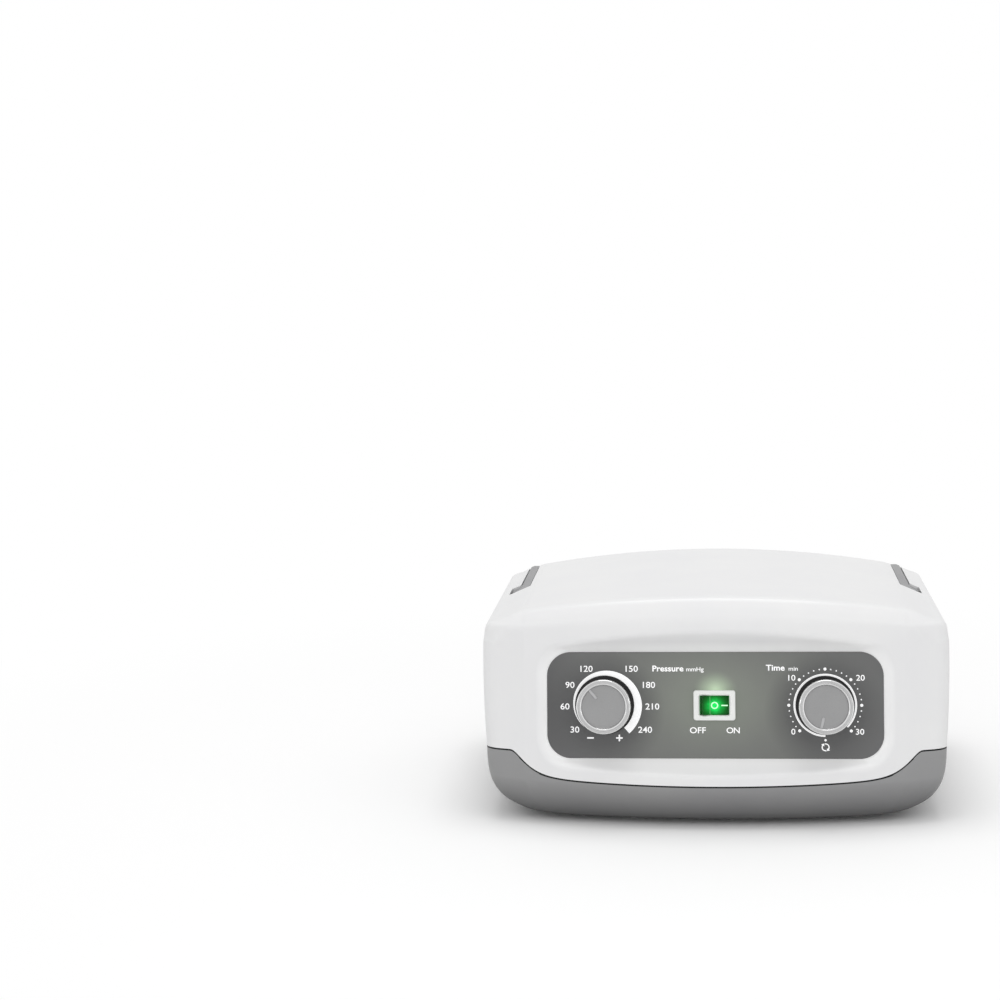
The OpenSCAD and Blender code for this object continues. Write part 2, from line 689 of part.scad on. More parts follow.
timer_half = 25;
timer_l = 28;
module timer_movement() color("gray") in_place() on_panel(knob_x) {
    bush();
    difference() {
        box_to([-timer_half, -timer_half, -behind - timer_l], [timer_half, timer_half, -behind]);
        translate([0, 0, -13]) cylinder(r = spindle_r + spindle_play, h = 20);
        for (x = [-1, 1])
            for (y = [-1, 1])
                translate([x * timer_half, y * timer_half, -40]) rotate([0, 0, 45])
                    cube([8, 8, 90], center = true);
    }
    translate([0, 0, -behind - timer_l - 4]) cylinder(r = 14, h = 5);
}

rock_out = -1;                             // height of the rocker's axis over the panel's face
rocker_r = rocker_w / 2 - 0.05;
rocker_half = rocker_h / 2;
rocker_gap = 0.3;
valley = 0.9;                              // height of the lowest line of the rocker's face
valley_x = -2.8;                           // distance of that line from the middle
horn = 3.2;                                // height of its two ends
trunnion_r = 1.2;
trunnion_half = rocker_half + 0.95;
module along_rocker(half, r)
    translate([0, half, rock_out]) rotate([90, 0, 0]) cylinder(r = r, h = 2 * half);

module switch_body() color("white") in_place() on_panel() difference() {
    union() {
        box_to([-switch_body_w / 2, -switch_body_h / 2, -switch_l],
            [switch_body_w / 2, switch_body_h / 2, 0]);
        linear_extrude(bezel_t) rounded(bezel_w, bezel_h, 1.2);
    }
    along_rocker(rocker_half + rocker_gap / 2, rocker_r + rocker_gap);
    box_to([-rocker_r - 0.25, -rocker_half - rocker_gap / 2, rock_out],
        [rocker_r + 0.25, rocker_half + rocker_gap / 2, bezel_t + 1]);
    along_rocker(trunnion_half + 0.3, trunnion_r + 0.06);
    translate([0, 0, -13]) cylinder(r = 1.65, h = 8);
}

// The rocker is a slice of a cylinder round its own axis, with a valley across its face.
module switch_rocker() color("green") in_place() on_panel(0, 0, rock_out) rotate([0, rocker_tilt, 0])
    translate([0, 0, -rock_out]) {
        intersection() {
            along_rocker(rocker_half, rocker_r);
            rotate([90, 0, 0]) linear_extrude(2 * rocker_half, center = true)
                polygon([[-9, -3], [9, -3], [9, horn], [valley_x, valley], [-9, horn]]);
        }
        along_rocker(trunnion_half, trunnion_r);
    }

module switch_lamp() color("lime") in_place() on_panel(0, 0, -13) {
    cylinder(r = 1.6, h = 6);
    translate([0, 0, 6]) sphere(r = 1.6);
}

module switch_terminals() color("silver") in_place()
    for (x = [-6, 0, 6])
        on_panel() box_to([x - 0.4, -2.4, -switch_l - blade_l], [x + 0.4, 2.4, -switch_l]);

// ---- handle ----

// What stands above the shoulder bevel, for trimming the pivot barrels flush with it.
module above_bevel(s)
    translate([s * crown_half_w, pivot_y, edge_z]) rotate([0, s * atan(bevel_slope), 0])
        translate([-40, -20, 0]) cube([80, 40, 20]);

module carry_handle() color("darkgray") in_place() difference() {
    union() {
        for (s = [-1, 1]) {
            box_to([s * arm_x - arm_w / 2, pivot_y, arm_top - arm_h],
                [s * arm_x + arm_w / 2, grip_back, arm_top]);
            tube_x(s > 0 ? arm_x - arm_w / 2 : -barrel_out, s > 0 ? barrel_out : -arm_x + arm_w / 2,
                pivot_y, pivot_z, barrel_r);
            // The block's rear face is round about the pivot, so it clears its pocket as it turns.
            intersection() {
                box_to([s > 0 ? arm_x : -barrel_out, pivot_y, pivot_z - barrel_r],
                    [s > 0 ? barrel_out : -arm_x, pivot_y + block_l + 1, arm_top]);
                tube_x(-barrel_out, barrel_out, pivot_y, pivot_z, block_l + 0.2);
            }
        }
        translate([-arm_x - arm_w / 2, grip_front + grip_t / 2, grip_bottom + grip_h / 2])
            rotate([90, 0, 90]) linear_extrude(2 * arm_x + arm_w) rounded(grip_t, grip_h, 3.5);
    }
    above_bevel(-1);
    above_bevel(1);
    for (s = [-1, 1])
        tube_x(s > 0 ? arm_x - 9 : -barrel_out + 1, s > 0 ? barrel_out - 1 : -arm_x + 9, pivot_y, pivot_z,
            pin_d / 2 + 0.08);
}

module handle_pins() color("silver") in_place()
    for (s = [-1, 1])
        tube_x(s > 0 ? arm_x - 6.4 : -barrel_out + 1.2, s > 0 ? barrel_out - 1.2 : -arm_x + 6.4,
            pivot_y, pivot_z, pin_d / 2);

// ---- compressor ----

module at_compressor(y = 0, z = 0)
    translate([compressor_x, compressor_y + y, compressor_z + compressor_h / 2 + z]) children();

module compressor_case() color("gray") in_place() {
    at_compressor() difference() {
        cube([compressor_w, compressor_l, compressor_h], center = true);
        cube([magnet[0] + 4, magnet[1] + 2 * stroke + 4, magnet[2] + 4], center = true);
        rotate([90, 0, 0]) cylinder(r = rod_r + rod_play, h = compressor_l + 2, center = true);
        for (z = [-1, 1])
            for (x = [-1, 1])
                translate([x * compressor_w / 2, 0, z * compressor_h / 2]) rotate([0, 45, 0])
                    cube([3, compressor_l + 2, 3], center = true);
    }
    tube_x(compressor_x + compressor_w / 2 - 1, compressor_x + compressor_w / 2 + 7, air_y, air_z,
        nipple_r);
}

module compressor_heads() color("dimgray") in_place()
    for (s = [-1, 1])
        at_compressor(s * (compressor_l + head_t) / 2) difference() {
            cube([head_w, head_t, head_w], center = true);
            translate([0, -s * (head_t / 2 + 1), 0]) rotate([-s * 90, 0, 0])
                cylinder(r = disc_r + 0.4, h = stroke * 2 + disc_t + 1.9);
            for (x = [-1, 1])
                for (z = [-1, 1])
                    translate([x * (head_w / 2 - 4), s * head_t / 2, z * (head_w / 2 - 4)])
                        rotate([90, 0, 0]) cylinder(r = 1.8, h = 3, center = true);
        }

module compressor_armature() color("silver") in_place() at_compressor() {
    cube(magnet, center = true);
    rotate([90, 0, 0]) cylinder(r = rod_r, h = 2 * (disc_in + disc_t), center = true);
    for (s = [-1, 1])
        translate([0, s * (disc_in + disc_t / 2), 0]) rotate([90, 0, 0])
            cylinder(r = disc_r, h = disc_t, center = true);
}

module compressor_mounts() color("black") in_place() at_buffers()
    rotate_extrude() polygon([[0, buffer_foot_z], [buffer_r, buffer_foot_z],
        [buffer_r - 1.2, buffer_foot_z + 3.5], [buffer_r, compressor_z], [0, compressor_z]]);

module air_filter() color("white") in_place() at_compressor(0, compressor_h / 2) {
    cylinder(r = 12, h = 8);
    translate([0, 0, 8]) cylinder(r = 10, h = 3);
}

// ---- rotary distributor ----

module distributor_motor() color("silver") in_place() translate([dist_x, air_y, 0]) difference() {
    translate([0, 0, motor_z]) cylinder(r = dist_r, h = dist_z - motor_z);
    translate([0, 0, motor_z + 9]) cylinder(r = 3 + rotor_play, h = 20);
}

module distributor_body() color("white") in_place() difference() {
    union() {
        translate([dist_x, air_y, dist_z]) cylinder(r = dist_r, h = dist_h);
        tube_x(dist_x - dist_r - 6, dist_x - dist_r + 4, air_y, air_z, nipple_r);
        for (i = [-1.5 : 1 : 1.5])
            tube_y(air_y + 12, air_y + dist_r + 8, dist_x + i * outlet_pitch, outlet_z, nipple_r);
    }
    translate([dist_x, air_y, rotor_z - rotor_play])
        cylinder(r = rotor_r + rotor_play, h = rotor_h + 2 * rotor_play);
    translate([dist_x, air_y, dist_z - 1]) cylinder(r = 3 + rotor_play, h = dist_h);
    translate([dist_x, air_y, rotor_z]) cylinder(r = 6, h = 20);
}

module distributor_rotor() color("gray") in_place() translate([dist_x, air_y, 0]) {
    difference() {
        translate([0, 0, rotor_z]) cylinder(r = rotor_r, h = rotor_h);
        translate([12, 0, rotor_z - 1]) cylinder(r = 2.4, h = rotor_h + 2);
    }
    translate([0, 0, motor_z + 9.4]) cylinder(r = 3, h = rotor_z - motor_z - 9);
}

// ---- hoses ----

hose_r = hose_d / 2;
hose_end = 0.2;                            // small gap between a hose end and the piece it is pushed up to
branch_y = air_y - tee_half - 0.5;
module tee_piece() color("white") in_place() {
    tube_x(tee_x - tee_half, tee_x + tee_half, air_y, air_z, tee_r);
    tube_x(tee_x - tee_half - 7, tee_x + tee_half + 5, air_y, air_z, nipple_r);
    tube_y(branch_y, air_y, tee_x, air_z, tee_r);
    tube_y(branch_y - 8, air_y, tee_x, air_z, nipple_r);
}

module supply_run(r, more) {
    tube_x(compressor_x + compressor_w / 2 + hose_end - more, tee_x - tee_half - hose_end + more, air_y,
        air_z, r);
    tube_x(tee_x + tee_half + hose_end - more, dist_x - dist_r - hose_end + more, air_y, air_z, r);
    tube_x(-knob_x + reg_w / 2 + hose_end - more, tee_x - bend_r, reg_y, air_z, r);
    tube_y(reg_y + bend_r, branch_y - hose_end + more, tee_x, air_z, r);
    translate([tee_x - bend_r, reg_y + bend_r, air_z]) rotate([0, 0, -90]) rotate_extrude(angle = 90)
        translate([bend_r, 0]) circle(r);
}
module supply_hoses() color("snow") in_place() difference() {
    supply_run(hose_r, 0);
    supply_run(hose_bore / 2, 1);
}

module outlet_hoses() color("snow") in_place()
    for (i = [-1.5 : 1 : 1.5])
        difference() {
            tube_y(air_y + dist_r + hose_end, manifold_front - hose_end, dist_x + i * outlet_pitch,
                outlet_z, hose_r);
            tube_y(air_y, manifold_front + 1, dist_x + i * outlet_pitch, outlet_z, hose_bore / 2);
        }

module outlet_manifold() color("white") in_place() {
    box_to([manifold_left, manifold_front, socket_z - 8], [manifold_right, manifold_back, socket_z + 8]);
    for (i = [-1.5 : 1 : 1.5])
        tube_y(manifold_front - 8, manifold_front + 1, dist_x + i * outlet_pitch, outlet_z, nipple_r);
}

module air_socket(x) difference() {
    union() {
        rear_box(x, socket_w, socket_h, 0, body_d - socket_plate, body_d);
        rear_box(x, socket_body_w, socket_body_h, 0, body_d - socket_l, body_d);
    }
    for (i = [-1.5 : 1 : 1.5]) {
        tube_y(body_d - port_depth, body_d + 1, x + i * port_pitch, socket_z, port_d / 2);
        tube_y(body_d - socket_l - 1, body_d, x + i * port_pitch, socket_z, 1.6);
    }
    flange_holes();
}
module flange_holes() at_flange_screws() {
    translate([0, 0, -1]) cylinder(r = 2.5, h = 2);
    cylinder(r = small_screw_r + 0.1, h = 9);
}
module air_socket_left() color("dimgray") in_place() air_socket(socket_left_x);
module air_socket_right() color("dimgray") in_place() air_socket(socket_right_x);

module mains_inlet() color("black") in_place() difference() {
    union() {
        rear_box(inlet_x, inlet_w, inlet_h, 0, body_d - socket_plate, body_d);
        rear_box(inlet_x, inlet_body_w, inlet_body_h, 0, body_d - inlet_l, body_d);
    }
    for (s = [-1, 1]) {
        tube_y(body_d - inlet_room, body_d + 1, inlet_x + s * pin_pitch / 2, socket_z, 4.2);
        tube_y(body_d - inlet_l - 1, body_d, inlet_x + s * pin_pitch / 2, socket_z, 1.25);
    }
    box_to([inlet_x - 3, body_d - inlet_room, socket_z - 3.2], [inlet_x + 3, body_d + 1, socket_z + 3.2]);
    flange_holes();
}

module inlet_pins() color("silver") in_place()
    for (s = [-1, 1])
        tube_y(body_d - inlet_l - 4, body_d - 3.4, inlet_x + s * pin_pitch / 2, socket_z, 1.2);

module socket_screws() color("silver") in_place() at_flange_screws() difference() {
    union() {
        cylinder(r = 2.4, h = 1);
        cylinder(r = small_screw_r, h = 9);
    }
    cube([3.2, 0.7, 1], center = true);
}

// ---- wiring ----

block_x = -14;
block = [30, 14, 12];
block_y = compressor_y + compressor_l / 2 + block[1] / 2 + 4;
module terminal_block() color("ivory") in_place() difference() {
    box_to([block_x - block[0] / 2, block_y - block[1] / 2, floor_z],
        [block_x + block[0] / 2, block_y + block[1] / 2, floor_z + block[2]]);
    for (i = [-1, 0, 1])
        translate([block_x + i * 9, block_y, floor_z + 7]) cylinder(r = 2.2, h = 9);
}

lead_r = 1.1;
lead_z = floor_z + 5;
motor_lead_x = -42;
pin_back = body_d - inlet_l - 4;
// Where the blades of the switch end.
switch_back = panel_y + (switch_l + blade_l) * cos(front_lean);
// A lead along a list of points, with a slightly thicker ball at each bend.
module lead(path) {
    for (i = [0 : len(path) - 2])
        let (a = path[i], d = path[i + 1] - a, l = norm(d))
            translate(a) rotate([0, acos(d[2] / l), atan2(d[1], d[0])])
                cylinder(r = lead_r, h = l, $fn = 16);
    for (i = [1 : len(path) - 2])
        translate(path[i]) sphere(r = lead_r + 0.2, $fn = 16);
}
module wiring() color("saddlebrown") in_place() {
    for (s = [-1, 1]) {
        x = inlet_x + s * pin_pitch / 2;
        bx = block_x + s * 4;
        sx = 3 + s * 3;
        lead([[x, pin_back - hose_end, socket_z], [x, pin_back - 8, socket_z],
            [x, pin_back - 8, lead_z + s * 2], [bx, pin_back - 8, lead_z + s * 2],
            [bx, block_y + block[1] / 2 + hose_end, lead_z + s * 2]]);
        lead([[bx, block_y - block[1] / 2 - hose_end, lead_z], [bx, 66 + s * 4, lead_z],
            [sx, 66 + s * 4, lead_z], [sx, switch_back + 8, lead_z],
            [sx, switch_back + 8, panel_z + 2], [sx, switch_back + hose_end, panel_z + 2]]);
    }
    lead([[block_x - block[0] / 2 - hose_end, block_y, lead_z], [motor_lead_x, block_y, lead_z],
        [motor_lead_x, block_y, 30], [motor_lead_x, compressor_y + compressor_l / 2 + hose_end, 30]]);
    lead([[block_x + block[0] / 2 + hose_end, block_y, lead_z], [dist_x, block_y, lead_z],
        [dist_x, block_y, 28], [dist_x, air_y + dist_r + hose_end, 28]]);
}

upper_housing();
lower_housing();
fascia_panel();
knob_rings();
pressure_knob();
pressure_spindle();
pressure_regulator();
timer_knob();
timer_spindle();
timer_movement();
spindle_nuts();
switch_body();
switch_rocker();
switch_lamp();
switch_terminals();
carry_handle();
handle_pins();
rubber_feet();
housing_screws();
compressor_case();
compressor_heads();
compressor_armature();
compressor_mounts();
air_filter();
distributor_motor();
distributor_body();
distributor_rotor();
tee_piece();
supply_hoses();
outlet_hoses();
outlet_manifold();
air_socket_left();
air_socket_right();
socket_screws();
mains_inlet();
inlet_pins();
terminal_block();
wiring();
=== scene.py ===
# %% [markdown]
# # Compression therapy pump
# A table-top air pump with a white cover over a grey tub, a sunk dark panel with two knobs and a lit
# rocker switch, and a carry handle folded into its shoulders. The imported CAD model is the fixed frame:
# this lesson gives it smooth skins, printed scales and finishes, and never moves it.

# %% Load the frame
import json
import math

import bpy
import numpy as np
from mathutils import Matrix, Vector

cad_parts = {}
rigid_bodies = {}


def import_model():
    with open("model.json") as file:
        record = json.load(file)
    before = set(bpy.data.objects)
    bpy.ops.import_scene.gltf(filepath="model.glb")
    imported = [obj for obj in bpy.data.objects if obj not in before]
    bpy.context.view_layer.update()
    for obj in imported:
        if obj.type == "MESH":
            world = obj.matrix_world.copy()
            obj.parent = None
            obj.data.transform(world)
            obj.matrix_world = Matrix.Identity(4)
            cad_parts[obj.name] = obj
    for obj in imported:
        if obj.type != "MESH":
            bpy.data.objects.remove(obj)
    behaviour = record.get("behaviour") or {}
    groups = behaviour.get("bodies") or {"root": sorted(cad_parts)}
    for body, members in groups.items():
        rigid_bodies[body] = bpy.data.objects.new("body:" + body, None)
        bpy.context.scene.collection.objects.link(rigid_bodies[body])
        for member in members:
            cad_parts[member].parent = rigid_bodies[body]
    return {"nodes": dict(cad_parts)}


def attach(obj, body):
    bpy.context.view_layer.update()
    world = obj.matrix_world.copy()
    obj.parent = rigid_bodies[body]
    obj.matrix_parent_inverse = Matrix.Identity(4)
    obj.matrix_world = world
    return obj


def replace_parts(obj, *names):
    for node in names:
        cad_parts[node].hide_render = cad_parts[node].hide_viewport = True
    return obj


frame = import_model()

for stray in [o for o in bpy.data.objects if o.name in ("Cube", "Light", "Camera")]:
    bpy.data.objects.remove(stray)
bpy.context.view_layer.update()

# %% [markdown]
# The camera comes first. The photograph is a straight view from above the table, and the pump stands
# in its right half. Lines that run back from the front meet in one vanishing point, so the direction of
# +Y in the picture is known, and with level knobs that fixes how the camera is turned. No lens shift is
# needed, because the picture's edge stretch comes from the turned camera alone.

# %% Camera
FRAME_PX = 1000
LENS_PX = 2295.0
VANISH_PX = (715.0, 207.0)
LEVEL_PX = 685.0
CAMERA_MM = (2.2, -1232.0, 311.0)


def camera_turn():
    """Rows are the camera's right, up and backward directions in the world. Backward and +Y are
    measured on the film; right is square to +Y and keeps horizontal lines level at the knobs."""
    half = FRAME_PX / 2
    vx, vy = VANISH_PX[0] - half, half - VANISH_PX[1]
    depth = np.array([vx, vy, LENS_PX])
    depth /= np.linalg.norm(depth)
    slope = (half - LEVEL_PX) / LENS_PX
    across = np.array([-(vy * slope + LENS_PX) / vx, slope, 1.0])
    across *= np.sign(across[0]) / np.linalg.norm(across)
    upward = np.cross(across, depth)
    upward *= np.sign(upward[1])
    film = np.stack([across, depth, upward], axis=1)
    film[2] *= -1
    return film


turn = Matrix(camera_turn().tolist()).transposed().to_4x4()
camera = bpy.data.objects.new("camera", bpy.data.cameras.new("camera"))
bpy.context.scene.collection.objects.link(camera)
camera.matrix_world = Matrix.Translation(Vector(CAMERA_MM) / 1000) @ turn
camera.data.sensor_width = 36.0
camera.data.lens = 36.0 * LENS_PX / FRAME_PX
bpy.context.scene.camera = camera
print("camera looks along", [round(v, 3) for v in -Vector(turn.col[2][:3])])

# %% [markdown]
# The housing's sizes are repeated here in millimetres, because its smooth skins follow the same
# formulas as the CAD solids that they stand for.

# %% Sizes of the housing
BODY_D, BODY_H, FOOT_H, WALL = 204.0, 115.5, 2.5, 2.8
MID_Y = BODY_D / 2
HALF_W, WAIST_W = 119.0, 117.3
BOW_R, LEAN_DEG = 400.0, 8.0
FRONT_HALF_W, FRONT_R, REAR_R = 97.0, 9.0, 14.0
CROWN, CROWN_HALF_W, BEVEL = 8.5, 98.5, 0.43
EDGE_Z = BODY_H - CROWN
SHOULDER_Z = BODY_H - 26
SPLIT_FRONT, SPLIT_SIDE, SPLIT_RISE = 21.8, 37.0, 2.7
STEP_X, STEP_W, SPLIT_GAP = 104.3, 5.1, 0.8
PANEL_W, PANEL_H, PANEL_R, PANEL_Y, PANEL_Z = 170.0, 54.0, 12.2, 16.4, 60.4
FLARES = {"top": 11.0, "bottom": 9.0, "side": 24.0, "depth": 12.0}
KNOB_X, KNOB_FOOT, KNOB_H, KNOB_R = 55.7, 1.2, 13.0, 13.9
lean = math.tan(math.radians(LEAN_DEG))
c_lean, s_lean = math.cos(math.radians(LEAN_DEG)), math.sin(math.radians(LEAN_DEG))

# %% [markdown]
# Every new piece is a grid or a prism of points worked out with numpy. These helpers put such arrays into a
# mesh, in metres and with the pump's middle at the origin.

# %% Helpers that make pieces


def to_metres(points):
    """Millimetres measured from the housing's foremost line to the frame's metres."""
    return (np.asarray(points, float) - [0, MID_Y, 0]) / 1000


def to_panel(points):
    """Turns (across, up, out) on the panel's face into millimetres of the housing."""
    p = np.asarray(points, float)
    return np.stack([p[:, 0], PANEL_Y - p[:, 2] * c_lean + p[:, 1] * s_lean,
                     PANEL_Z + p[:, 1] * c_lean + p[:, 2] * s_lean], axis=1)


def piece(name, points, faces, smooth_deg=32):
    """A mesh object at the origin from points in metres and a list or array of faces."""
    mesh = bpy.data.meshes.new(name)
    mesh.from_pydata(np.asarray(points).tolist(), [], [list(map(int, f)) for f in faces])
    mesh.validate()
    mesh.shade_smooth()
    mesh.set_sharp_from_angle(angle=math.radians(smooth_deg))
    made = bpy.data.objects.new(name, mesh)
    bpy.context.scene.collection.objects.link(made)
    return made


def panel_piece(name, points, faces):
    """A mesh object from (across, up, out) points on the panel's face."""
    return piece(name, to_metres(to_panel(points)), faces)


def closed_grid(rings):
    """Faces of a stack of closed rings, shape (rows, count, 3), with a fan over each end."""
    rows, count = rings.shape[:2]
    i, j = np.meshgrid(np.arange(rows - 1), np.arange(count), indexing="ij")
    a, b = i * count + j, i * count + (j + 1) % count
    sides = np.stack([a, b, b + count, a + count], axis=-1).reshape(-1, 4)
    k = np.arange(count)
    low, top = rows * count, rows * count + 1
    ends = [np.stack([(k + 1) % count, k, np.full(count, low)], axis=1),
            np.stack([(rows - 1) * count + k, (rows - 1) * count + (k + 1) % count,
                      np.full(count, top)], axis=1)]
    points = np.concatenate([rings.reshape(-1, 3), [rings[0].mean(0)], [rings[-1].mean(0)]])
    return points, [*sides.tolist(), *ends[0].tolist(), *ends[1].tolist()]


def loft_piece(name, rings):
    """A closed mesh object from rings in millimetres."""
    return piece(name, *closed_grid(to_metres(rings)))


def prism(outline, low, high):
    """A flat outline, shape (n, 2), carried from low to high. Points are (across, up, out)."""
    n = len(outline)
    points = np.concatenate([np.c_[outline, np.full(n, low)], np.c_[outline, np.full(n, high)]])
    k = np.arange(n)
    sides = np.stack([k, (k + 1) % n, n + (k + 1) % n, n + k], axis=1).tolist()
    return points, [list(range(n - 1, -1, -1)), list(range(n, 2 * n)), *sides]


def circle(radius, steps):
    """Points round the origin, anticlockwise."""
    q = np.linspace(0, 2 * math.pi, steps, endpoint=False)
    return radius * np.stack([np.cos(q), np.sin(q)], axis=1)


def rounded_rectangle(width, height, radius, steps=6):
    """Outline of a rectangle with quarter circles at its corners, anticlockwise."""
    q = np.radians(np.linspace(0, 90, steps + 1))
    arc = radius * np.stack([np.cos(q), np.sin(q)], axis=1)
    corners = []
    for quarter, (sx, sy) in enumerate([(1, 1), (-1, 1), (-1, -1), (1, -1)]):
        turned = arc @ np.linalg.matrix_power(np.array([[0, 1], [-1, 0]]), quarter)
        corners.append(turned + [sx * (width / 2 - radius), sy * (height / 2 - radius)])
    return np.concatenate(corners)


ACROSS = [[1, 2], [2, 0], [0, 1]]


def carried(name, outline, low, high, axis, place):
    """An outline carried from low to high along x, y or z and moved to its place in millimetres."""
    flat, faces = prism(outline, low, high)
    points = np.zeros_like(flat)
    points[:, [*ACROSS[axis], axis]] = flat
    return piece(name, to_metres(points + place), faces)


def box_mm(name, low, high, radius=0.0, along=1):
    """A box between two corners in millimetres, its four edges along one axis rounded."""
    low, high = np.array(low, float), np.array(high, float)
    size = high - low
    width, height = size[ACROSS[along]]
    plain = np.array([[1, 1], [-1, 1], [-1, -1], [1, -1]]) * [width / 2, height / 2]
    outline = rounded_rectangle(width, height, radius, 5) if radius else plain
    return carried(name, outline, -size[along] / 2, size[along] / 2, along, (low + high) / 2)


def rod_mm(name, start, length, radius, axis=2, steps=48):
    """A round rod from a start point along one axis, for holes and posts."""
    return carried(name, circle(radius, steps), 0, length, axis, start)


def carve(base, tools, how, smooth_deg=32):
    """Joins, cuts or intersects base with each tool in turn and deletes the tools."""
    for tool in tools:
        change = base.modifiers.new("carve", "BOOLEAN")
        change.solver, change.operation, change.object = "MANIFOLD", how, tool
    bpy.context.view_layer.update()
    done = bpy.data.meshes.new_from_object(base.evaluated_get(bpy.context.evaluated_depsgraph_get()))
    base.modifiers.clear()
    old, base.data = base.data, done
    bpy.data.meshes.remove(old)
    for tool in tools:
        bpy.data.objects.remove(tool)
    base.data.shade_smooth()
    base.data.set_sharp_from_angle(angle=math.radians(smooth_deg))
    print(base.name, how.lower(), "->", len(base.data.polygons), "faces")
    return base


# %% [markdown]
# ## The skins of the housing
# Both mouldings are lofts: one outline seen from above, carried up through rows whose half width,
# insets and corner radii change. The CAD solid has few rows. Here a smooth curve runs through the same
# rows, so that the gloss shows no facets, and the outline has a point about every millimetre.

# %% Outline and rows


def step_share(x):
    """1 beside the step of the parting line. Towards the middle it falls as (1 + u) exp(-u), where u
    is the distance from the step over its length: steep at first, then ever flatter."""
    u = np.maximum(0, STEP_X - np.abs(x)) / STEP_W
    return (1 + u) * np.exp(-u)


def split_z(x):
    """Height of the parting line: a slight parabola and the step up to the sides."""
    k = np.minimum(1, np.abs(x) / STEP_X)
    return SPLIT_FRONT + SPLIT_RISE * k * k + (SPLIT_SIDE - SPLIT_FRONT - SPLIT_RISE) * step_share(x)


def loft(rows, density=1.0):
    """Rings from rows of [weight of the parting line, height, half width, front half width, front
    inset, front radius, rear inset, rear radius, weight of the crown]. Each ring is a bow, a flat
    corner face, a round corner, a straight side and a round rear corner, mirrored."""
    r = np.asarray(rows, float)[:, :, None]
    weight, height, a, wf, yf, rc, rear, rr, crown = (r[:, i] for i in range(9))
    yb = BODY_D - rear

    def share(n, first=False):
        """n even steps from 0 to 1, without the 0 unless it is the first piece of the ring."""
        n = max(2, int(n * density))
        return np.linspace(0, 1, n + 1)[0 if first else 1:]

    f = share(100, True)
    bow = (wf * f, yf + (wf * f) ** 2 / (2 * BOW_R))
    yw = yf + wf ** 2 / (2 * BOW_R)
    yc = yw + (a - rc - wf) * 0.36
    f = share(12)
    face = (wf + (a - rc - wf) * f, yw + (yc - yw) * f)
    q = math.radians(20) + math.radians(70) * share(14)
    s20, c20 = math.sin(math.radians(20)), math.cos(math.radians(20))
    corner = (a - rc + rc * (np.sin(q) - s20) / (1 - s20), yc + rc * (c20 - np.cos(q)) / c20)
    f = share(24)
    side = (a + 0 * f, yc + rc + (yb - rr - yc - rc) * f)
    q = math.radians(90) * share(12)
    back_corner = (a - rr + rr * np.cos(q), yb - rr + rr * np.sin(q))
    f = share(20)
    back = ((a - rr) * (1 - f), yb + 0 * f)
    x, y = (np.concatenate(half, axis=1) for half in zip(bow, face, corner, side, back_corner, back))
    x = np.concatenate([x, -x[:, -2:0:-1]], axis=1)
    y = np.concatenate([y, y[:, -2:0:-1]], axis=1)
    share_of_crown = np.maximum(0, 1 - (x / CROWN_HALF_W) ** 2)
    z = weight * split_z(x) + height + crown * CROWN * share_of_crown
    depth = (y - yf) / (yb - yf)
    y = y + lean * np.maximum(0, z - SPLIT_FRONT) * (1 - depth)
    return np.stack([x, y, z], axis=2)


def smooth_rows(rows, counts):
    """A Catmull-Rom curve through the rows, with that many steps between each pair."""
    r = np.asarray(rows, float)
    padded = np.concatenate([[2 * r[0] - r[1]], r, [2 * r[-1] - r[-2]]])
    made = []
    for i, count in enumerate(counts):
        t = (np.arange(count) / count)[:, None]
        p0, p1, p2, p3 = padded[i:i + 4]
        made.append(0.5 * (2 * p1 + (p2 - p0) * t + (2 * p0 - 5 * p1 + 4 * p2 - p3) * t ** 2
                           + (3 * p1 - p0 - 3 * p2 + p3) * t ** 3))
    return np.concatenate([*made, r[-1:]])


def rim_row(dz, inset):
    """A row at the parting line, raised by dz."""
    return [1, dz, WAIST_W - inset, FRONT_HALF_W - inset, inset, FRONT_R - inset / 2, inset,
            REAR_R - inset, 0]


def wall_row(t, inset):
    """The walls swell as a parabola of the height, widest a little under the shoulders."""
    swell = BODY_H - 34
    z = SPLIT_SIDE + t * (SHOULDER_Z - SPLIT_SIDE)
    half = HALF_W - (HALF_W - WAIST_W) * ((z - swell) / (swell - SPLIT_SIDE)) ** 2
    return [1 - t, t * SHOULDER_Z, half - inset, FRONT_HALF_W - inset, inset, FRONT_R - inset / 2, inset,
            REAR_R - inset, 0]


def bevel_z(x):
    """Height of the shoulder bevel's plane at x."""
    return EDGE_Z - (x - CROWN_HALF_W) * BEVEL


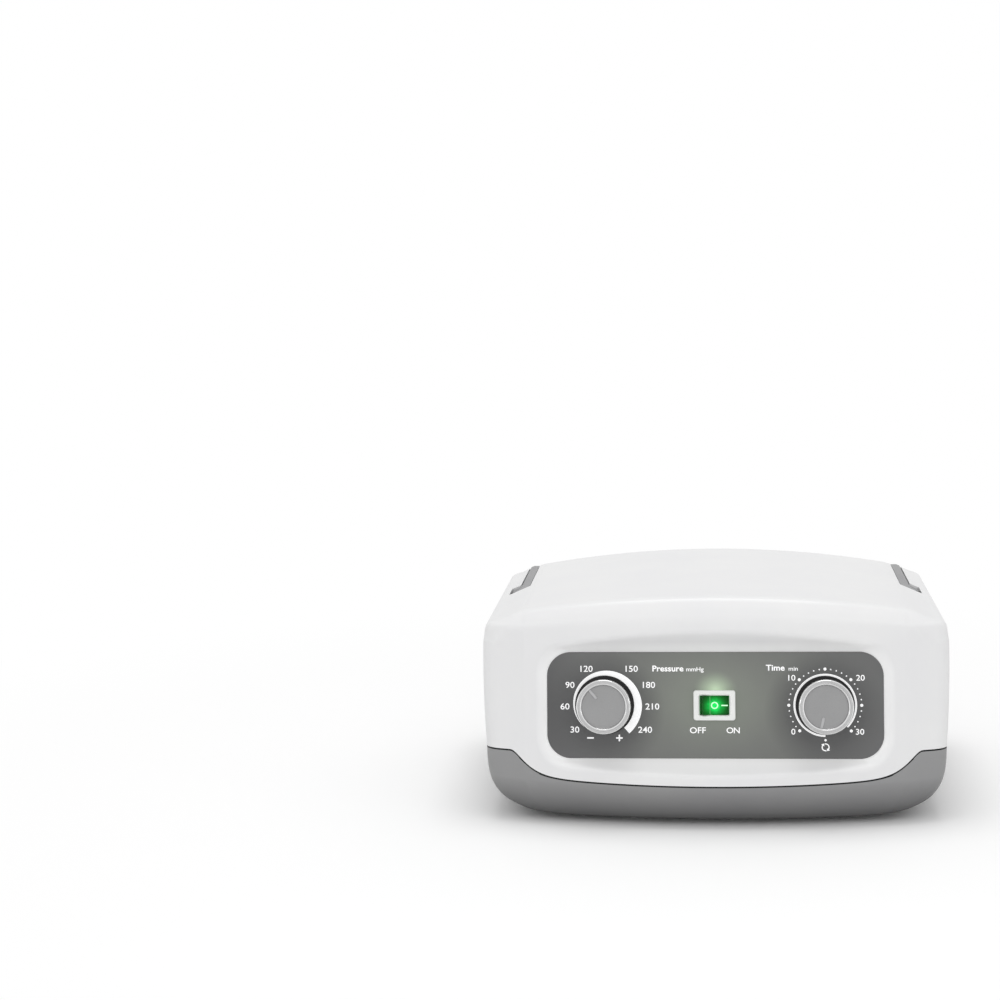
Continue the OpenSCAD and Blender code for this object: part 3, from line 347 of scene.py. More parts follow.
def shoulder_rows(inset):
    """Rows over the shoulder bevels: down from the crown's side edge they fall at one slope."""
    i, h, f = inset, HALF_W, FRONT_HALF_W
    return [
        [0, SHOULDER_Z + 3 - i * 0.2, h - 0.35 - i, f - i, i, FRONT_R + 2 - i / 2, 0.2 + i, REAR_R - i,
         0.15],
        [0, bevel_z(h - 2) - 1.7 - i * 0.6, h - 0.9 - i, f - i, 0.2 + i, FRONT_R + 6 - i / 2, 0.5 + i,
         REAR_R - i, 0.5],
        [0, bevel_z(h - 3.6) - 0.15 - i, h - 2.6 - i * 0.8, f - i, 0.6 + i, FRONT_R + 6 - i / 2, 1.0 + i,
         REAR_R - 1 - i, 0.66],
        [0, bevel_z(h - 7.5) - i, h - 7.5 - i * 0.6, f - 0.5 - i, 1.7 + i, FRONT_R + 3 - i / 2, 2 + i,
         REAR_R - 2 - i, 0.8],
        [0, bevel_z(h - 13) - i, h - 13 - i * 0.5, f - 1 - i, 3.4 + i, FRONT_R - 1 - i / 2, 3 + i,
         REAR_R - 4 - i, 0.91],
        [0, EDGE_Z - 0.7 - i, CROWN_HALF_W + 1.6 - i * 0.4, f - 2 - i, 5.8 + i, 4 - i / 2, 4.4 + i,
         7 - i / 2, 0.975],
        [0, EDGE_Z - i, CROWN_HALF_W - 1.2 - i * 0.4, f - 4.5 - i, 9 + i, 3.6 - i / 2, 6.5 + i,
         6 - i / 2, 1]]


def crown_rows(inset, count):
    """Rings that shrink towards the middle of the crown."""
    i, made = inset, []
    for k in np.linspace(1, 0.04, count + 1)[1:]:
        made.append([0, EDGE_Z - i, (CROWN_HALF_W - 1.2 - i * 0.4) * k, (FRONT_HALF_W - 4.5 - i) * k,
                     9 + i + (BODY_D / 2 - 9) * (1 - k) * 0.9, (3.6 - i / 2) * k,
                     6.5 + i + (BODY_D / 2 - 6.5) * (1 - k) * 0.9, (6 - i / 2) * k, 1])
    return made


print("parting line at 0, 90 and 110 mm:", split_z(np.array([0, 90, 110.0])).round(1))

# %% [markdown]
# The panel sits in a recess whose walls flare out to a soft crease on the bowed front. The recess is
# made by pushing the front of the skin back where the flared walls lie deeper than the bow. A smooth
# maximum of the two depths rounds the crease, as the radius in the mould does.

# %% The recess


def recess_out(x, up, grow):
    """How far out of the panel's face the flared wall lies at (x, up): the outline of the panel grows
    with the distance out, and halving the interval finds the outline that passes the point."""
    low, high = np.full(x.shape, -0.2), np.full(x.shape, 1.8)
    for _ in range(26):
        t = (low + high) / 2
        half = PANEL_W / 2 + grow + FLARES["side"] * t
        top = PANEL_H / 2 + grow + FLARES["top"] * t
        bottom = PANEL_H / 2 + grow + FLARES["bottom"] * t
        radius = PANEL_R + grow
        dx = np.abs(x) - (half - radius)
        dy = np.where(up > 0, up - (top - radius), -up - (bottom - radius))
        outside = np.hypot(np.maximum(dx, 0), np.maximum(dy, 0)) + np.minimum(np.maximum(dx, dy), 0)
        wider = outside > radius
        low, high = np.where(wider, t, low), np.where(wider, high, t)
    return (low + high) / 2 * FLARES["depth"]


def push_back(rings, grow, base, floor, soften):
    """Moves the front points of a skin back to the recess, with a smooth maximum of the two depths."""
    p = rings.copy()
    front = (p[..., 1] < 60) & (np.abs(p[..., 0]) < 117) & (p[..., 2] < BODY_H - 9)
    x, y, z = p[front].T
    depth = np.full(x.shape, PANEL_Y)
    for _ in range(4):
        up = (depth - PANEL_Y) * s_lean + (z - PANEL_Z) * c_lean
        out = np.maximum(recess_out(x, up, grow) + base, floor)
        depth = PANEL_Y + ((z - PANEL_Z) * s_lean - out) / c_lean
    h = np.maximum(soften - np.abs(y - depth), 0)
    p[..., 1][front] = np.maximum(y, depth) + h * h / (4 * soften)
    return p


# %% [markdown]
# The cover is the outer skin less an inner skin, with the channels for the handle's arms, the step for
# its grip, the finger hollow and the seats of the sockets cut out of it. Each cut has its own lining,
# so the moulding has one even wall. Solids that are joined and cut keep it closed everywhere.

# %% The white cover
ARM_X, ARM_W, ARM_H, HANDLE_GAP = 104.0, 5.6, 9.0, 0.6
PIVOT_Y, PIVOT_Z, HUB_R, BLOCK_L = 123.0, 99.2, 9.0, 10.0
ARM_TOP, BARREL_OUT = PIVOT_Z + 4.6, ARM_X + ARM_W / 2 + 5
LEDGE_Z = ARM_TOP - ARM_H - 7.5
GRIP_T, GRIP_H = 14.0, 15.0
GRIP_BACK = BODY_D - 1.6
GRIP_FRONT, GRIP_BOTTOM = GRIP_BACK - GRIP_T, LEDGE_Z + 1.2
LEDGE_Y = PIVOT_Y + math.sqrt((GRIP_FRONT - PIVOT_Y) ** 2 - (BODY_H - PIVOT_Z) ** 2) - HANDLE_GAP
CHANNEL_W = ARM_W + 2 * HANDLE_GAP
FINGER_W, FINGER_H, FINGER_D = 92.0, 20.0, 16.0
SOCKET_Z, SOCKETS, INLET_X = 46.0, (8.0, 66.0), -78.0
SOCKET_BODY, SOCKET_FLANGE = (37.3, 10.0), (50.3, 13.0)
INLET_BODY, INLET_FLANGE, PLATE_T, SOCKET_DEPTH = (20.4, 11.4), (31.4, 14.0), 1.6, 20
VENT_W, VENT_PITCH, VENT_H, VENT_X, VENTS = 2.2, 4.6, 18.0, -39.0, 9
POSTS = [(x, y) for x in (-88, 88) for y in (44, BODY_D - 42)]
SCREW_EDGE = 3.2
FLANGE_SCREWS = [x + s * (width / 2 - SCREW_EDGE) for x, width in
                 (*((x, SOCKET_FLANGE[0]) for x in SOCKETS), (INLET_X, INLET_FLANGE[0])) for s in (-1, 1)]
WINDOW_HOLE, BUSH_R, THROUGH = (19.4, 13.5, 0.5), 4.4, 20


def handle_room(grow):
    """The channels, pivot pockets, grip step and finger hollow as rounded boxes grown by a wall."""
    g, tools = grow, []
    front, low = PIVOT_Y - HUB_R - HANDLE_GAP - g, ARM_TOP - ARM_H - HANDLE_GAP - g
    edge = 0.6 + g / 2
    for s in (-1, 1):
        middle, out = s * ARM_X, s * (BARREL_OUT + HANDLE_GAP + g)
        left, right = min(middle, out) - g * (s > 0), max(middle, out) + g * (s < 0)
        tools.append(box_mm("channel", [middle - CHANNEL_W / 2 - g, front, low],
                            [middle + CHANNEL_W / 2 + g, BODY_D + 20, low + 40], edge))
        tools.append(box_mm("pocket", [left, front, PIVOT_Z - HUB_R - HANDLE_GAP - g],
                            [right, PIVOT_Y + BLOCK_L + HANDLE_GAP + g, low + 40], edge))
    half = ARM_X + CHANNEL_W / 2 + g
    tools.append(box_mm("step", [-half, LEDGE_Y - g, LEDGE_Z - g],
                        [half, LEDGE_Y + 60, LEDGE_Z + 60], 3 + g, 0))
    tools.append(box_mm("hollow", [-FINGER_W / 2 - g, BODY_D - FINGER_D - g, LEDGE_Z - FINGER_H - g],
                        [FINGER_W / 2 + g, BODY_D + 30, LEDGE_Z + 10 + g], 5 + g))
    return tools


def rear_box(x, size, depth, grow=0.2):
    """The seat of a socket or inlet, open to the back."""
    w, h, front = size[0] / 2 + grow, size[1] / 2 + grow, BODY_D - depth
    return box_mm("seat", [x - w, front, SOCKET_Z - h], [x + w, BODY_D + 5, SOCKET_Z + h], 1.2)


def slots(x, y, z, axis):
    """A row of round-ended slots, through the rear wall or the floor."""
    made, reach = [], VENT_H / 2 + VENT_W / 2
    for i in range(VENTS):
        cx = x + (i - (VENTS - 1) / 2) * VENT_PITCH
        left, right = cx - VENT_W / 2, cx + VENT_W / 2
        low, high = [left, y - 6, z - reach], [right, y + 3, z + reach]
        if axis == 2:
            low, high = [left, y - reach, z], [right, y + reach, z + 9]
        made.append(box_mm("vent", low, high, VENT_W / 2 - 0.01, axis))
    return made


wall_steps = [wall_row(t, 0) for t in (0.2, 0.4, 0.6, 0.8, 1.0)]
outer_rows = np.concatenate([
    smooth_rows([rim_row(SPLIT_GAP / 2, 0), *wall_steps, *shoulder_rows(0)],
                [18] * 5 + [6] * 7), crown_rows(0, 34)])
inner_rows = np.concatenate([
    smooth_rows([rim_row(-4, WALL), rim_row(2.9, WALL), *[wall_row(t, WALL) for t in (0.3, 0.65, 1.0)],
                 *shoulder_rows(WALL)[1::2], shoulder_rows(WALL)[6]],
                [2, 6, 10, 10, 4, 4, 4, 4]), crown_rows(WALL, 10)])
outer = push_back(loft(outer_rows), 0.0, -0.3, -1.6, 1.6)
inner = push_back(loft(inner_rows, 0.6), WALL, -1.2 - WALL, -1.2 - WALL, 1.0)
cover, linings = loft_piece("cover_skin", outer), loft_piece("linings", outer)
grown = handle_room(WALL - 0.4)
posts = [rod_mm("post", [x, y, 24], 80, 4.5) for x, y in POSTS]
bosses = [rod_mm("boss", [x, BODY_D - 11, SOCKET_Z], 11, 3, 1) for x in FLANGE_SCREWS]
first = grown.pop()
carve(first, [*grown, *posts, *bosses], "UNION")
carve(linings, [first], "INTERSECT")
rebate = np.stack([rim_row(-4, 1.3), rim_row(2.9, 1.3)])
carve(cover, [loft_piece("inner", inner), loft_piece("rebate", loft(rebate, 0.6))], "DIFFERENCE")
carve(cover, [linings], "UNION")
seats = [rear_box(x, SOCKET_FLANGE, PLATE_T) for x in SOCKETS]
seats += [rear_box(x, SOCKET_BODY, SOCKET_DEPTH) for x in SOCKETS]
seats += [rear_box(INLET_X, INLET_FLANGE, PLATE_T), rear_box(INLET_X, INLET_BODY, SOCKET_DEPTH)]
holes = [rod_mm("hole", [x, BODY_D - 9.4, SOCKET_Z], 10, 1.25, 1, 20) for x in FLANGE_SCREWS]
holes += [rod_mm("hole", [x, y, 23], 15, 1.55, 2, 20) for x, y in POSTS]
holes.append(panel_piece("window", *prism(rounded_rectangle(*WINDOW_HOLE), -THROUGH, THROUGH)))
for side in (-1, 1):
    bush = circle(BUSH_R, 48) + [side * KNOB_X, 0]
    holes.append(panel_piece("bush_hole", *prism(bush, -THROUGH, THROUGH)))
carve(cover, [*handle_room(0), *seats, *holes, *slots(VENT_X, BODY_D + 3, SOCKET_Z - 3, 1)], "DIFFERENCE")

# %% [markdown]
# The tub is made the same way. Its rim follows the parting line, and a tongue on it reaches into a
# rebate of the cover, so no light shows through the joint. The rounded bottom edges are fuller than a
# quarter of an ellipse at the sides, as the photograph shows.

# %% The grey tub
TUB_SIDE_R, TUB_FRONT_R = 38.0, 13.0


def tub_rows(inset, floor, angles):
    """One row per angle: the sides follow 1 - (1 - s^3)^(1/3), the ends 1 - cos."""
    rows = []
    for q in angles:
        s = math.sin(q)
        narrower = TUB_SIDE_R * (1 - (1 - s ** 3) ** (1 / 3)) + inset
        end = 1 - math.cos(q)
        rows.append([1 - s, floor, WAIST_W - narrower, FRONT_HALF_W - narrower, TUB_FRONT_R * end + inset,
                     FRONT_R + 10 * end - inset / 2, TUB_FRONT_R * end + inset, REAR_R + 4 * end - inset, 0])
    return rows


turns = np.radians(np.concatenate([np.linspace(90, 70, 12), np.linspace(68, 4, 44)]))
tub_outer = np.stack([*tub_rows(0, FOOT_H, turns), rim_row(-SPLIT_GAP / 2, 0)])
tub, tub_limit = loft_piece("tub_skin", loft(tub_outer)), loft_piece("tub_limit", loft(tub_outer))
tongue = np.stack([rim_row(-3, 1.5), rim_row(2.6, 1.5)])
carve(tub, [loft_piece("tongue", loft(tongue))], "UNION")
turns = np.radians(np.linspace(90, 4, 20))
cavity = np.stack([*tub_rows(WALL, FOOT_H + WALL, turns), rim_row(5, WALL)])
carve(tub, [loft_piece("cavity", loft(cavity, 0.6))], "DIFFERENCE")
COMPRESSOR_XY, MOTOR_XY = (-67.0, 106.0), (37.0, 112.0)
BUFFER_X, BUFFER_Y = 26, 21
BUFFERS = [(COMPRESSOR_XY[0] + x, COMPRESSOR_XY[1] + y)
           for x in (-BUFFER_X, BUFFER_X) for y in (-BUFFER_Y, BUFFER_Y)]
legs = [rod_mm("post", [x, y, 0], 24, 5.2) for x, y in POSTS]
legs += [rod_mm("seat", [x, y, 0], 9, 7) for x, y in BUFFERS]
legs += [rod_mm("leg", [MOTOR_XY[0] + s * 17, MOTOR_XY[1], 0], 20, 5) for s in (-1, 1)]
carve(tub_limit, [carve(legs.pop(), legs, "UNION")], "INTERSECT")
carve(tub, [tub_limit], "UNION")
bores = [rod_mm("sink", [x, y, -1], 13, 3.6) for x, y in POSTS]
bores += [rod_mm("bore", [x, y, 0], 30, 1.75, 2, 20) for x, y in POSTS]
FEET = [(x, y) for x in (-62, 62) for y in (34, BODY_D - 34)]
bores += [rod_mm("foot_hole", [x, y, 0], FOOT_H + 2.2, 3.1, 2, 24) for x, y in FEET]
carve(tub, [*bores, *slots(37, 66, FOOT_H - 3, 2)], "DIFFERENCE")

# %% [markdown]
# ## Knobs
# Each knob is turned: a tapered skirt, a rim with two rounded edges and a groove between them, and a
# sunk face. A lathe of the drawn profile gives it, and the pointer is a chamfered bar on the face.

# %% Knobs


def lathe(name, profile, centre_x, steps=144, base=0.0):
    """Turns a profile of (radius, out) pairs about a line square to the panel."""
    rings = np.stack([np.c_[circle(r, steps) + [centre_x, 0], np.full(steps, out + base)]
                      for r, out in profile])
    return panel_piece(name, *closed_grid(rings))


def rounded_path(corners, radius, steps=5):
    """A line through corners, each inner corner replaced by an arc-like curve of that radius."""
    c, made = np.asarray(corners, float), [corners[0]]
    for before, here, after in zip(c[:-2], c[1:-1], c[2:]):
        into, out = before - here, after - here
        reach = min(radius, np.linalg.norm(into) / 2, np.linalg.norm(out) / 2)
        a, b = here + into / np.linalg.norm(into) * reach, here + out / np.linalg.norm(out) * reach
        t = np.linspace(0, 1, steps)[:, None]
        made.extend(((1 - t) ** 2 * a + 2 * t * (1 - t) * here + t * t * b).tolist())
    return [*made, corners[-1]]


KNOB_FACE_R, FACE_H, BORE_R, BORE_TOP = 11.0, KNOB_H - 1.6, 3.03, 9.8
knob_profile = rounded_path([
    (0.02, BORE_TOP), (BORE_R, BORE_TOP), (BORE_R, 5), (7.8, 5), (7.8, 0.0), (KNOB_R - 0.75, 0.0),
    (KNOB_R - 0.7, 1.0), (KNOB_R - 0.05, KNOB_H - 1.2), (KNOB_R - 0.3, KNOB_H - 0.5),
    (KNOB_R - 0.95, KNOB_H - 0.08), (KNOB_FACE_R + 1.4, KNOB_H - 0.25),
    (KNOB_FACE_R + 0.75, KNOB_H - 0.02), (KNOB_FACE_R, KNOB_H - 0.6),
    (KNOB_FACE_R - 0.25, FACE_H), (0.02, FACE_H)], 0.25)


def pointer(name, centre_x, mark_deg):
    """The raised bar on a knob's face, from 5.3 to 11.2 mm from the axis, its top edges chamfered."""
    low, top = rounded_rectangle(5.9, 1.6, 0.7), rounded_rectangle(5.5, 1.1, 0.5)
    a = math.radians(mark_deg)
    rings = np.stack([np.c_[outline + [8.25, 0], np.full(28, out)]
                      for outline, out in ((low, FACE_H - 0.3), (low, FACE_H + 0.2), (top, FACE_H + 0.45))])
    turned = rings @ np.array([[math.cos(a), math.sin(a), 0], [-math.sin(a), math.cos(a), 0], [0, 0, 1]])
    return panel_piece(name, *closed_grid(turned + [centre_x, 0, KNOB_FOOT]))


pressure_skin = lathe("pressure_knob_skin", knob_profile, -KNOB_X, base=KNOB_FOOT)
timer_skin = lathe("timer_knob_skin", knob_profile, KNOB_X, base=KNOB_FOOT)
pressure_mark = pointer("pressure_pointer", -KNOB_X, 130)
timer_mark = pointer("timer_pointer", KNOB_X, 256)
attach(pressure_mark, "pressure_dial")
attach(timer_mark, "timer_dial")
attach(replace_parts(pressure_skin, "pressure_knob"), "pressure_dial")
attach(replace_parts(timer_skin, "timer_knob"), "timer_dial")
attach(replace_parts(cover, "upper_housing"), "case")
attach(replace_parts(tub, "lower_housing"), "case")
print("knobs", len(pressure_skin.data.polygons), "faces each")

# %% [markdown]
# ## Carry handle
# One grey moulding: two flat arms that lie in the channels, each with a round hub and a foot at its
# pivot, and a thick grip at the back. The arms have softened edges and end a little below the plane of
# the shoulder bevel, and the feet lie deeper still.

# %% Handle
ARM_SINK, FOOT_SINK, PIN_X, PIN_L, PIN_R = 0.4, 1.3, 108.5, 14, 2.1


def make_handle():
    """Rounded boxes and rods joined, then trimmed a little under the plane of each shoulder bevel."""
    parts, half = [], ARM_X + ARM_W / 2
    for s in (-1, 1):
        inner, outer_x = s * (ARM_X - ARM_W / 2), s * BARREL_OUT
        x0, x1 = s * ARM_X - ARM_W / 2, s * ARM_X + ARM_W / 2
        parts.append(box_mm("arm", [x0, PIVOT_Y, ARM_TOP - ARM_H], [x1, GRIP_BACK - 3, ARM_TOP], 1.1))
        parts.append(box_mm("arm_back", [x0, PIVOT_Y, ARM_TOP - 3], [x1, LEDGE_Y - 1, EDGE_Z], 0.6))
        parts.append(rod_mm("hub", [min(inner, outer_x), PIVOT_Y, PIVOT_Z],
                            BARREL_OUT - ARM_X + ARM_W / 2, HUB_R, 0, 96))
        foot = box_mm("foot", [min(s * ARM_X, outer_x), PIVOT_Y, PIVOT_Z - 4],
                      [max(s * ARM_X, outer_x), PIVOT_Y + BLOCK_L + 1, EDGE_Z], 0.7)
        swing = rod_mm("swing", [-BARREL_OUT, PIVOT_Y, PIVOT_Z], 2 * BARREL_OUT, BLOCK_L + 0.2, 0, 64)
        parts.append(carve(foot, [swing], "INTERSECT"))
    grip = box_mm("carry_handle_skin", [-half, GRIP_FRONT, GRIP_BOTTOM],
                  [half, GRIP_BACK, GRIP_BOTTOM + GRIP_H], 4.2, 0)
    carve(grip, parts, "UNION")
    trims = []
    for s in (-1, 1):
        slope = Matrix.Rotation(s * math.atan(BEVEL), 4, "Y")
        slab = box_mm("trim", [-40, MID_Y - 20, 0], [40, MID_Y + 90, 20])
        slab.data.transform(Matrix.Translation(
            (s * CROWN_HALF_W / 1000, (PIVOT_Y - MID_Y) / 1000, (EDGE_Z - ARM_SINK) / 1000)) @ slope)
        left, right = sorted((s * half, s * 120))
        sunk = box_mm("sunk", [left, PIVOT_Y - 20, 0], [right, PIVOT_Y + 20, 20])
        edge = Matrix.Translation((s * half / 1000, 0, 0))
        raised = Matrix.Translation((0, 0, (bevel_z(half) - FOOT_SINK) / 1000))
        sunk.data.transform(raised @ edge @ slope @ edge.inverted())
        trims += [slab, sunk]
    pins = [rod_mm("pin", [s * PIN_X - 8, PIVOT_Y, PIVOT_Z], PIN_L, PIN_R, 0, 32) for s in (-1, 1)]
    return carve(grip, [*trims, *pins], "DIFFERENCE")


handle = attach(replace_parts(make_handle(), "carry_handle"), "handle")

# %% [markdown]
# ## Switch
# The bezel is a white frame with a rounded outer edge and a sloped inner edge round its window. The
# rocker below keeps its CAD solid, a slice of a cylinder with a valley across it, and gets its marks.

# %% Switch
BEZEL_W, BEZEL_H, BEZEL_T, WINDOW_W, WINDOW_H = 21.2, 15.3, 2.0, 14.9, 9.9
ROCKER_TILT, ROCK_OUT, ROCKER_END, ROCKER_TOP, VALLEY_X, VALLEY = 10.0, -1.0, 9, 3.2, -2.8, 0.9
MARK_T, LINE_T = 0.09, 0.05


def framed(name, stages):
    """A closed body whose outline, a rounded rectangle, changes with each (w, h, r, out) stage."""
    rings = np.stack([np.c_[rounded_rectangle(w, h, r), np.full(28, out)] for w, h, r, out in stages])
    return panel_piece(name, *closed_grid(rings))


bezel = framed("switch_frame", [
    (18.8, 12.8, 0.6, -18), (18.8, 12.8, 0.6, 0.02), (BEZEL_W - 0.1, BEZEL_H - 0.1, 1.3, 0.03),
    (BEZEL_W, BEZEL_H, 1.35, 0.15), (BEZEL_W, BEZEL_H, 1.35, 1.3),
    (BEZEL_W - 0.15, BEZEL_H - 0.15, 1.3, 1.65), (BEZEL_W - 0.5, BEZEL_H - 0.5, 1.2, 1.9),
    (BEZEL_W - 1.0, BEZEL_H - 1.0, 1.1, BEZEL_T)])
room = framed("switch_room", [
    (WINDOW_W, WINDOW_H, 0.4, -9.2), (WINDOW_W, WINDOW_H, 0.4, 1.2),
    (WINDOW_W + 0.7, WINDOW_H + 0.7, 0.7, 1.75), (WINDOW_W + 1.6, WINDOW_H + 1.6, 1.0, 2.2)])
carve(bezel, [room], "DIFFERENCE")
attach(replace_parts(bezel, "switch_body"), "case")


def rocker_face(x, up, lift):
    """Points lift above the rocker's two sloping faces, which meet in the valley, then tilted."""
    rise = ROCKER_TOP - VALLEY
    slope = np.where(x > VALLEY_X, rise / (ROCKER_END - VALLEY_X), rise / (-ROCKER_END - VALLEY_X))
    out = VALLEY + (x - VALLEY_X) * slope + lift - ROCK_OUT
    cos, sin = math.cos(math.radians(ROCKER_TILT)), math.sin(math.radians(ROCKER_TILT))
    return np.stack([x * cos + out * sin, up, out * cos - x * sin + ROCK_OUT], 1)


def mark_on_rocker(name, flat, faces):
    """Bends a flat mark, given as (across, up, lift), onto the rocker's face."""
    return panel_piece(name, rocker_face(*np.asarray(flat, float).T), faces)


ROUND = 56
hoop = ((1.25, 0.0), (1.25, MARK_T), (1.78, MARK_T), (1.78, 0.0))
hoop_points = np.concatenate([np.c_[circle(r, ROUND) + [-0.35, 0], np.full(ROUND, h)] for r, h in hoop])
i, j = np.divmod(np.arange(4 * ROUND), ROUND)
a, b, after = i * ROUND, (i + 1) % 4 * ROUND, (j + 1) % ROUND
hoop_faces = np.stack([a + j, b + j, b + after, a + after], axis=1)
rocker_o = mark_on_rocker("rocker_circle", hoop_points, hoop_faces)
rocker_bar = mark_on_rocker("rocker_bar", *prism(rounded_rectangle(3.2, 0.6, 0.2) + [4.6, 0], 0.0, MARK_T))
# The light line along the valley is a painted highlight on the crease, and it glows.
valley_highlight_line = mark_on_rocker("rocker_valley_line", *prism(
    rounded_rectangle(0.28, 9.1, 0.1) + [VALLEY_X + 0.16, 0], 0.0, LINE_T))
for mark in (rocker_o, rocker_bar, valley_highlight_line):
    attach(mark, "rocker")

# %% [markdown]
# ## Printed scales
# The scales are screen printed in white. Each print is real, very thin geometry: text made into a mesh,
# discs for the dots, and bands of changing width for the crescents, all laid on the panel's face.

# %% Prints
PRINT_T, PRINT_SINK, TEXT_STRETCH, CAPITAL = 0.07, 0.005, 1.1, 0.727


def panel_mesh(name, flats):
    """Joins several (points, faces) pairs given on the panel's face into one piece."""
    points, faces, start = [], [], 0
    for p, f in flats:
        points.append(np.asarray(p, float))
        faces.extend([[v + start for v in face] for face in f])
        start += len(p)
    return panel_piece(name, np.concatenate(points), faces)


def words(text, x, up, height, bold=0.0, spacing=1.0):
    """Text as a closed mesh, its middle at (x, up), capitals of the given height."""
    curve = bpy.data.curves.new("words", "FONT")
    curve.body, curve.size, curve.align_x, curve.align_y = text, 1.0, "CENTER", "CENTER"
    curve.extrude, curve.offset, curve.space_character = 0.5, bold, spacing
    curve.resolution_u = 3
    holder = bpy.data.objects.new("words", curve)
    bpy.context.scene.collection.objects.link(holder)
    bpy.context.view_layer.update()
    mesh = bpy.data.meshes.new_from_object(holder.evaluated_get(bpy.context.evaluated_depsgraph_get()))
    points = np.empty(3 * len(mesh.vertices))
    mesh.vertices.foreach_get("co", points)
    points = points.reshape(-1, 3)
    faces = [list(f.vertices) for f in mesh.polygons]
    bpy.data.objects.remove(holder)
    bpy.data.meshes.remove(mesh)
    points[:, :2] *= np.array([TEXT_STRETCH, 1]) * height / CAPITAL
    points[:, 2] = (points[:, 2] + 0.5) * PRINT_T - PRINT_SINK
    return points + [x, up, 0], faces


def flat_print(outline):
    """An outline on the panel as a thin print."""
    return prism(outline, -PRINT_SINK, PRINT_T)


def disc(x, up, radius):
    """A printed dot about (x, up)."""
    return flat_print(circle(radius, 20) + [x, up])


def band(x, up, start_deg, end_deg, inner, outer, steps=120):
    """A flat band about (x, up): its two radii are functions of the share 0 to 1 along it."""
    t = np.linspace(0, 1, steps)
    a = np.radians(start_deg + (end_deg - start_deg) * t)
    lines = [np.c_[r(t) * np.cos(a) + x, r(t) * np.sin(a) + up] for r in (inner, outer)]
    if end_deg > start_deg:
        lines.reverse()
    n = steps
    points = np.concatenate([np.c_[line, np.full(n, h)] for h in (-PRINT_SINK, PRINT_T) for line in lines])
    k = np.arange(n - 1)
    low_in, low_out, top_in, top_out = k, k + n, k + 2 * n, k + 3 * n
    quads = [np.stack([top_in, top_in + 1, top_out + 1, top_out], 1),
             np.stack([low_in, low_out, low_out + 1, low_in + 1], 1),
             np.stack([low_in, low_in + 1, top_in + 1, top_in], 1),
             np.stack([low_out, top_out, top_out + 1, low_out + 1], 1)]
    ends = [[0, 2 * n, 3 * n, n], [n - 1, 2 * n - 1, 4 * n - 1, 3 * n - 1]]
    return points, np.concatenate(quads).tolist() + ends


def bar(x, up, width, height):
    """A printed bar about (x, up), its corners rounded by a fifth of its thickness."""
    return flat_print(rounded_rectangle(width, height, min(width, height) * 0.2, 3) + [x, up])


SCALE_H, TIME_H, BOLD, BOLDER, SIGN_W, SIGN_T, SIGN_UP = 3.2, 3.0, 0.010, 0.022, 3.4, 0.75, -16.7
CRESCENT_R, CRESCENT_W, CRESCENT_FROM, CRESCENT_TO, CRESCENT_GROWS = 15.1, 3.75, 225, -49, 225
pressure_scale = [words(t, x, up, SCALE_H, BOLD) for t, x, up in (
    ("30", -71.0, -12.65), ("60", -75.95, -0.86), ("90", -73.3, 10.1), ("120", -65.2, 18.3),
    ("150", -42.2, 18.3), ("180", -33.5, 10.1), ("210", -31.45, -0.86), ("240", -35.2, -12.65))]
pressure_scale += [bar(x, SIGN_UP, w, h) for x, w, h in (
    (-63.0, SIGN_W, SIGN_T), (-48.3, SIGN_W, SIGN_T), (-48.3, SIGN_T, SIGN_W))]
pressure_scale.append(band(
    -KNOB_X, 0, CRESCENT_FROM, CRESCENT_TO, lambda t: CRESCENT_R + 0 * t, lambda t: CRESCENT_R + 0.15
    + CRESCENT_W * np.minimum(1, t * (CRESCENT_FROM - CRESCENT_TO) / CRESCENT_GROWS)))
pressure_print = panel_mesh("pressure_print", pressure_scale)
DOTS_R, BIG_DOT, SMALL_DOT, ENDLESS_UP, ENDLESS_R, ARROW = 18.25, 0.78, 0.36, -21.2, 1.72, 140
timer_scale = [words(t, x, up, TIME_H, BOLD) for t, x, up in (
    ("0", 39.6, -13.5), ("10", 38.66, 13.7), ("20", 73.4, 13.7), ("30", 72.9, -13.5))]
timer_scale += [disc(KNOB_X + DOTS_R * math.cos(math.radians(a)), DOTS_R * math.sin(math.radians(a)),
                     SMALL_DOT if a % 45 else BIG_DOT) for a in range(-45, 226, 9)]
timer_scale.append(disc(KNOB_X, -17.6, 0.62))
timer_scale.append(band(KNOB_X, 0, 270, -45, lambda t: 14.9 + 0 * t, lambda t: 15.95 + 0 * t))
for start in (105, 285):
    timer_scale.append(band(KNOB_X, ENDLESS_UP, start, start - ARROW,
                            lambda t: 1.45 + 0 * t, lambda t: 2.0 + 0 * t, 24))
    a = math.radians(start - ARROW)
    aside, ahead = np.array([math.cos(a), math.sin(a)]), np.array([math.sin(a), -math.cos(a)])
    tip = [KNOB_X, ENDLESS_UP] + ENDLESS_R * aside
    timer_scale.append(flat_print(np.stack([tip - aside * 0.95, tip + ahead * 1.1, tip + aside * 0.95])))
timer_print = panel_mesh("timer_print", timer_scale)
labels = [words("Pressure", -23.5, 18.45, 3.0, BOLDER), words("mmHg", -9.8, 18.1, 2.2, BOLD),
          words("Time", 30.8, 18.8, 3.0, BOLDER), words("min", 39.8, 18.4, 2.2, BOLD),
          words("OFF", -8.5, -12.9, 3.15, BOLD), words("ON", 9.4, -12.9, 3.05, BOLD, 0.9)]
label_print = panel_mesh("label_print", labels)
for made in (pressure_print, timer_print, label_print):
    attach(made, "case")

# %% [markdown]
# ## Finishes
# Every finish is built from shader nodes on Object coordinates: a base colour with slow and fine
# variation, a roughness that varies with it, and a fine bump for the moulded grain.

# %% Node helpers


def linear(value):
    """Display value 0 to 255 to linear light, the standard curve."""
    v = value / 255
    return v / 12.92 if v <= 0.04045 else ((v + 0.055) / 1.055) ** 2.4


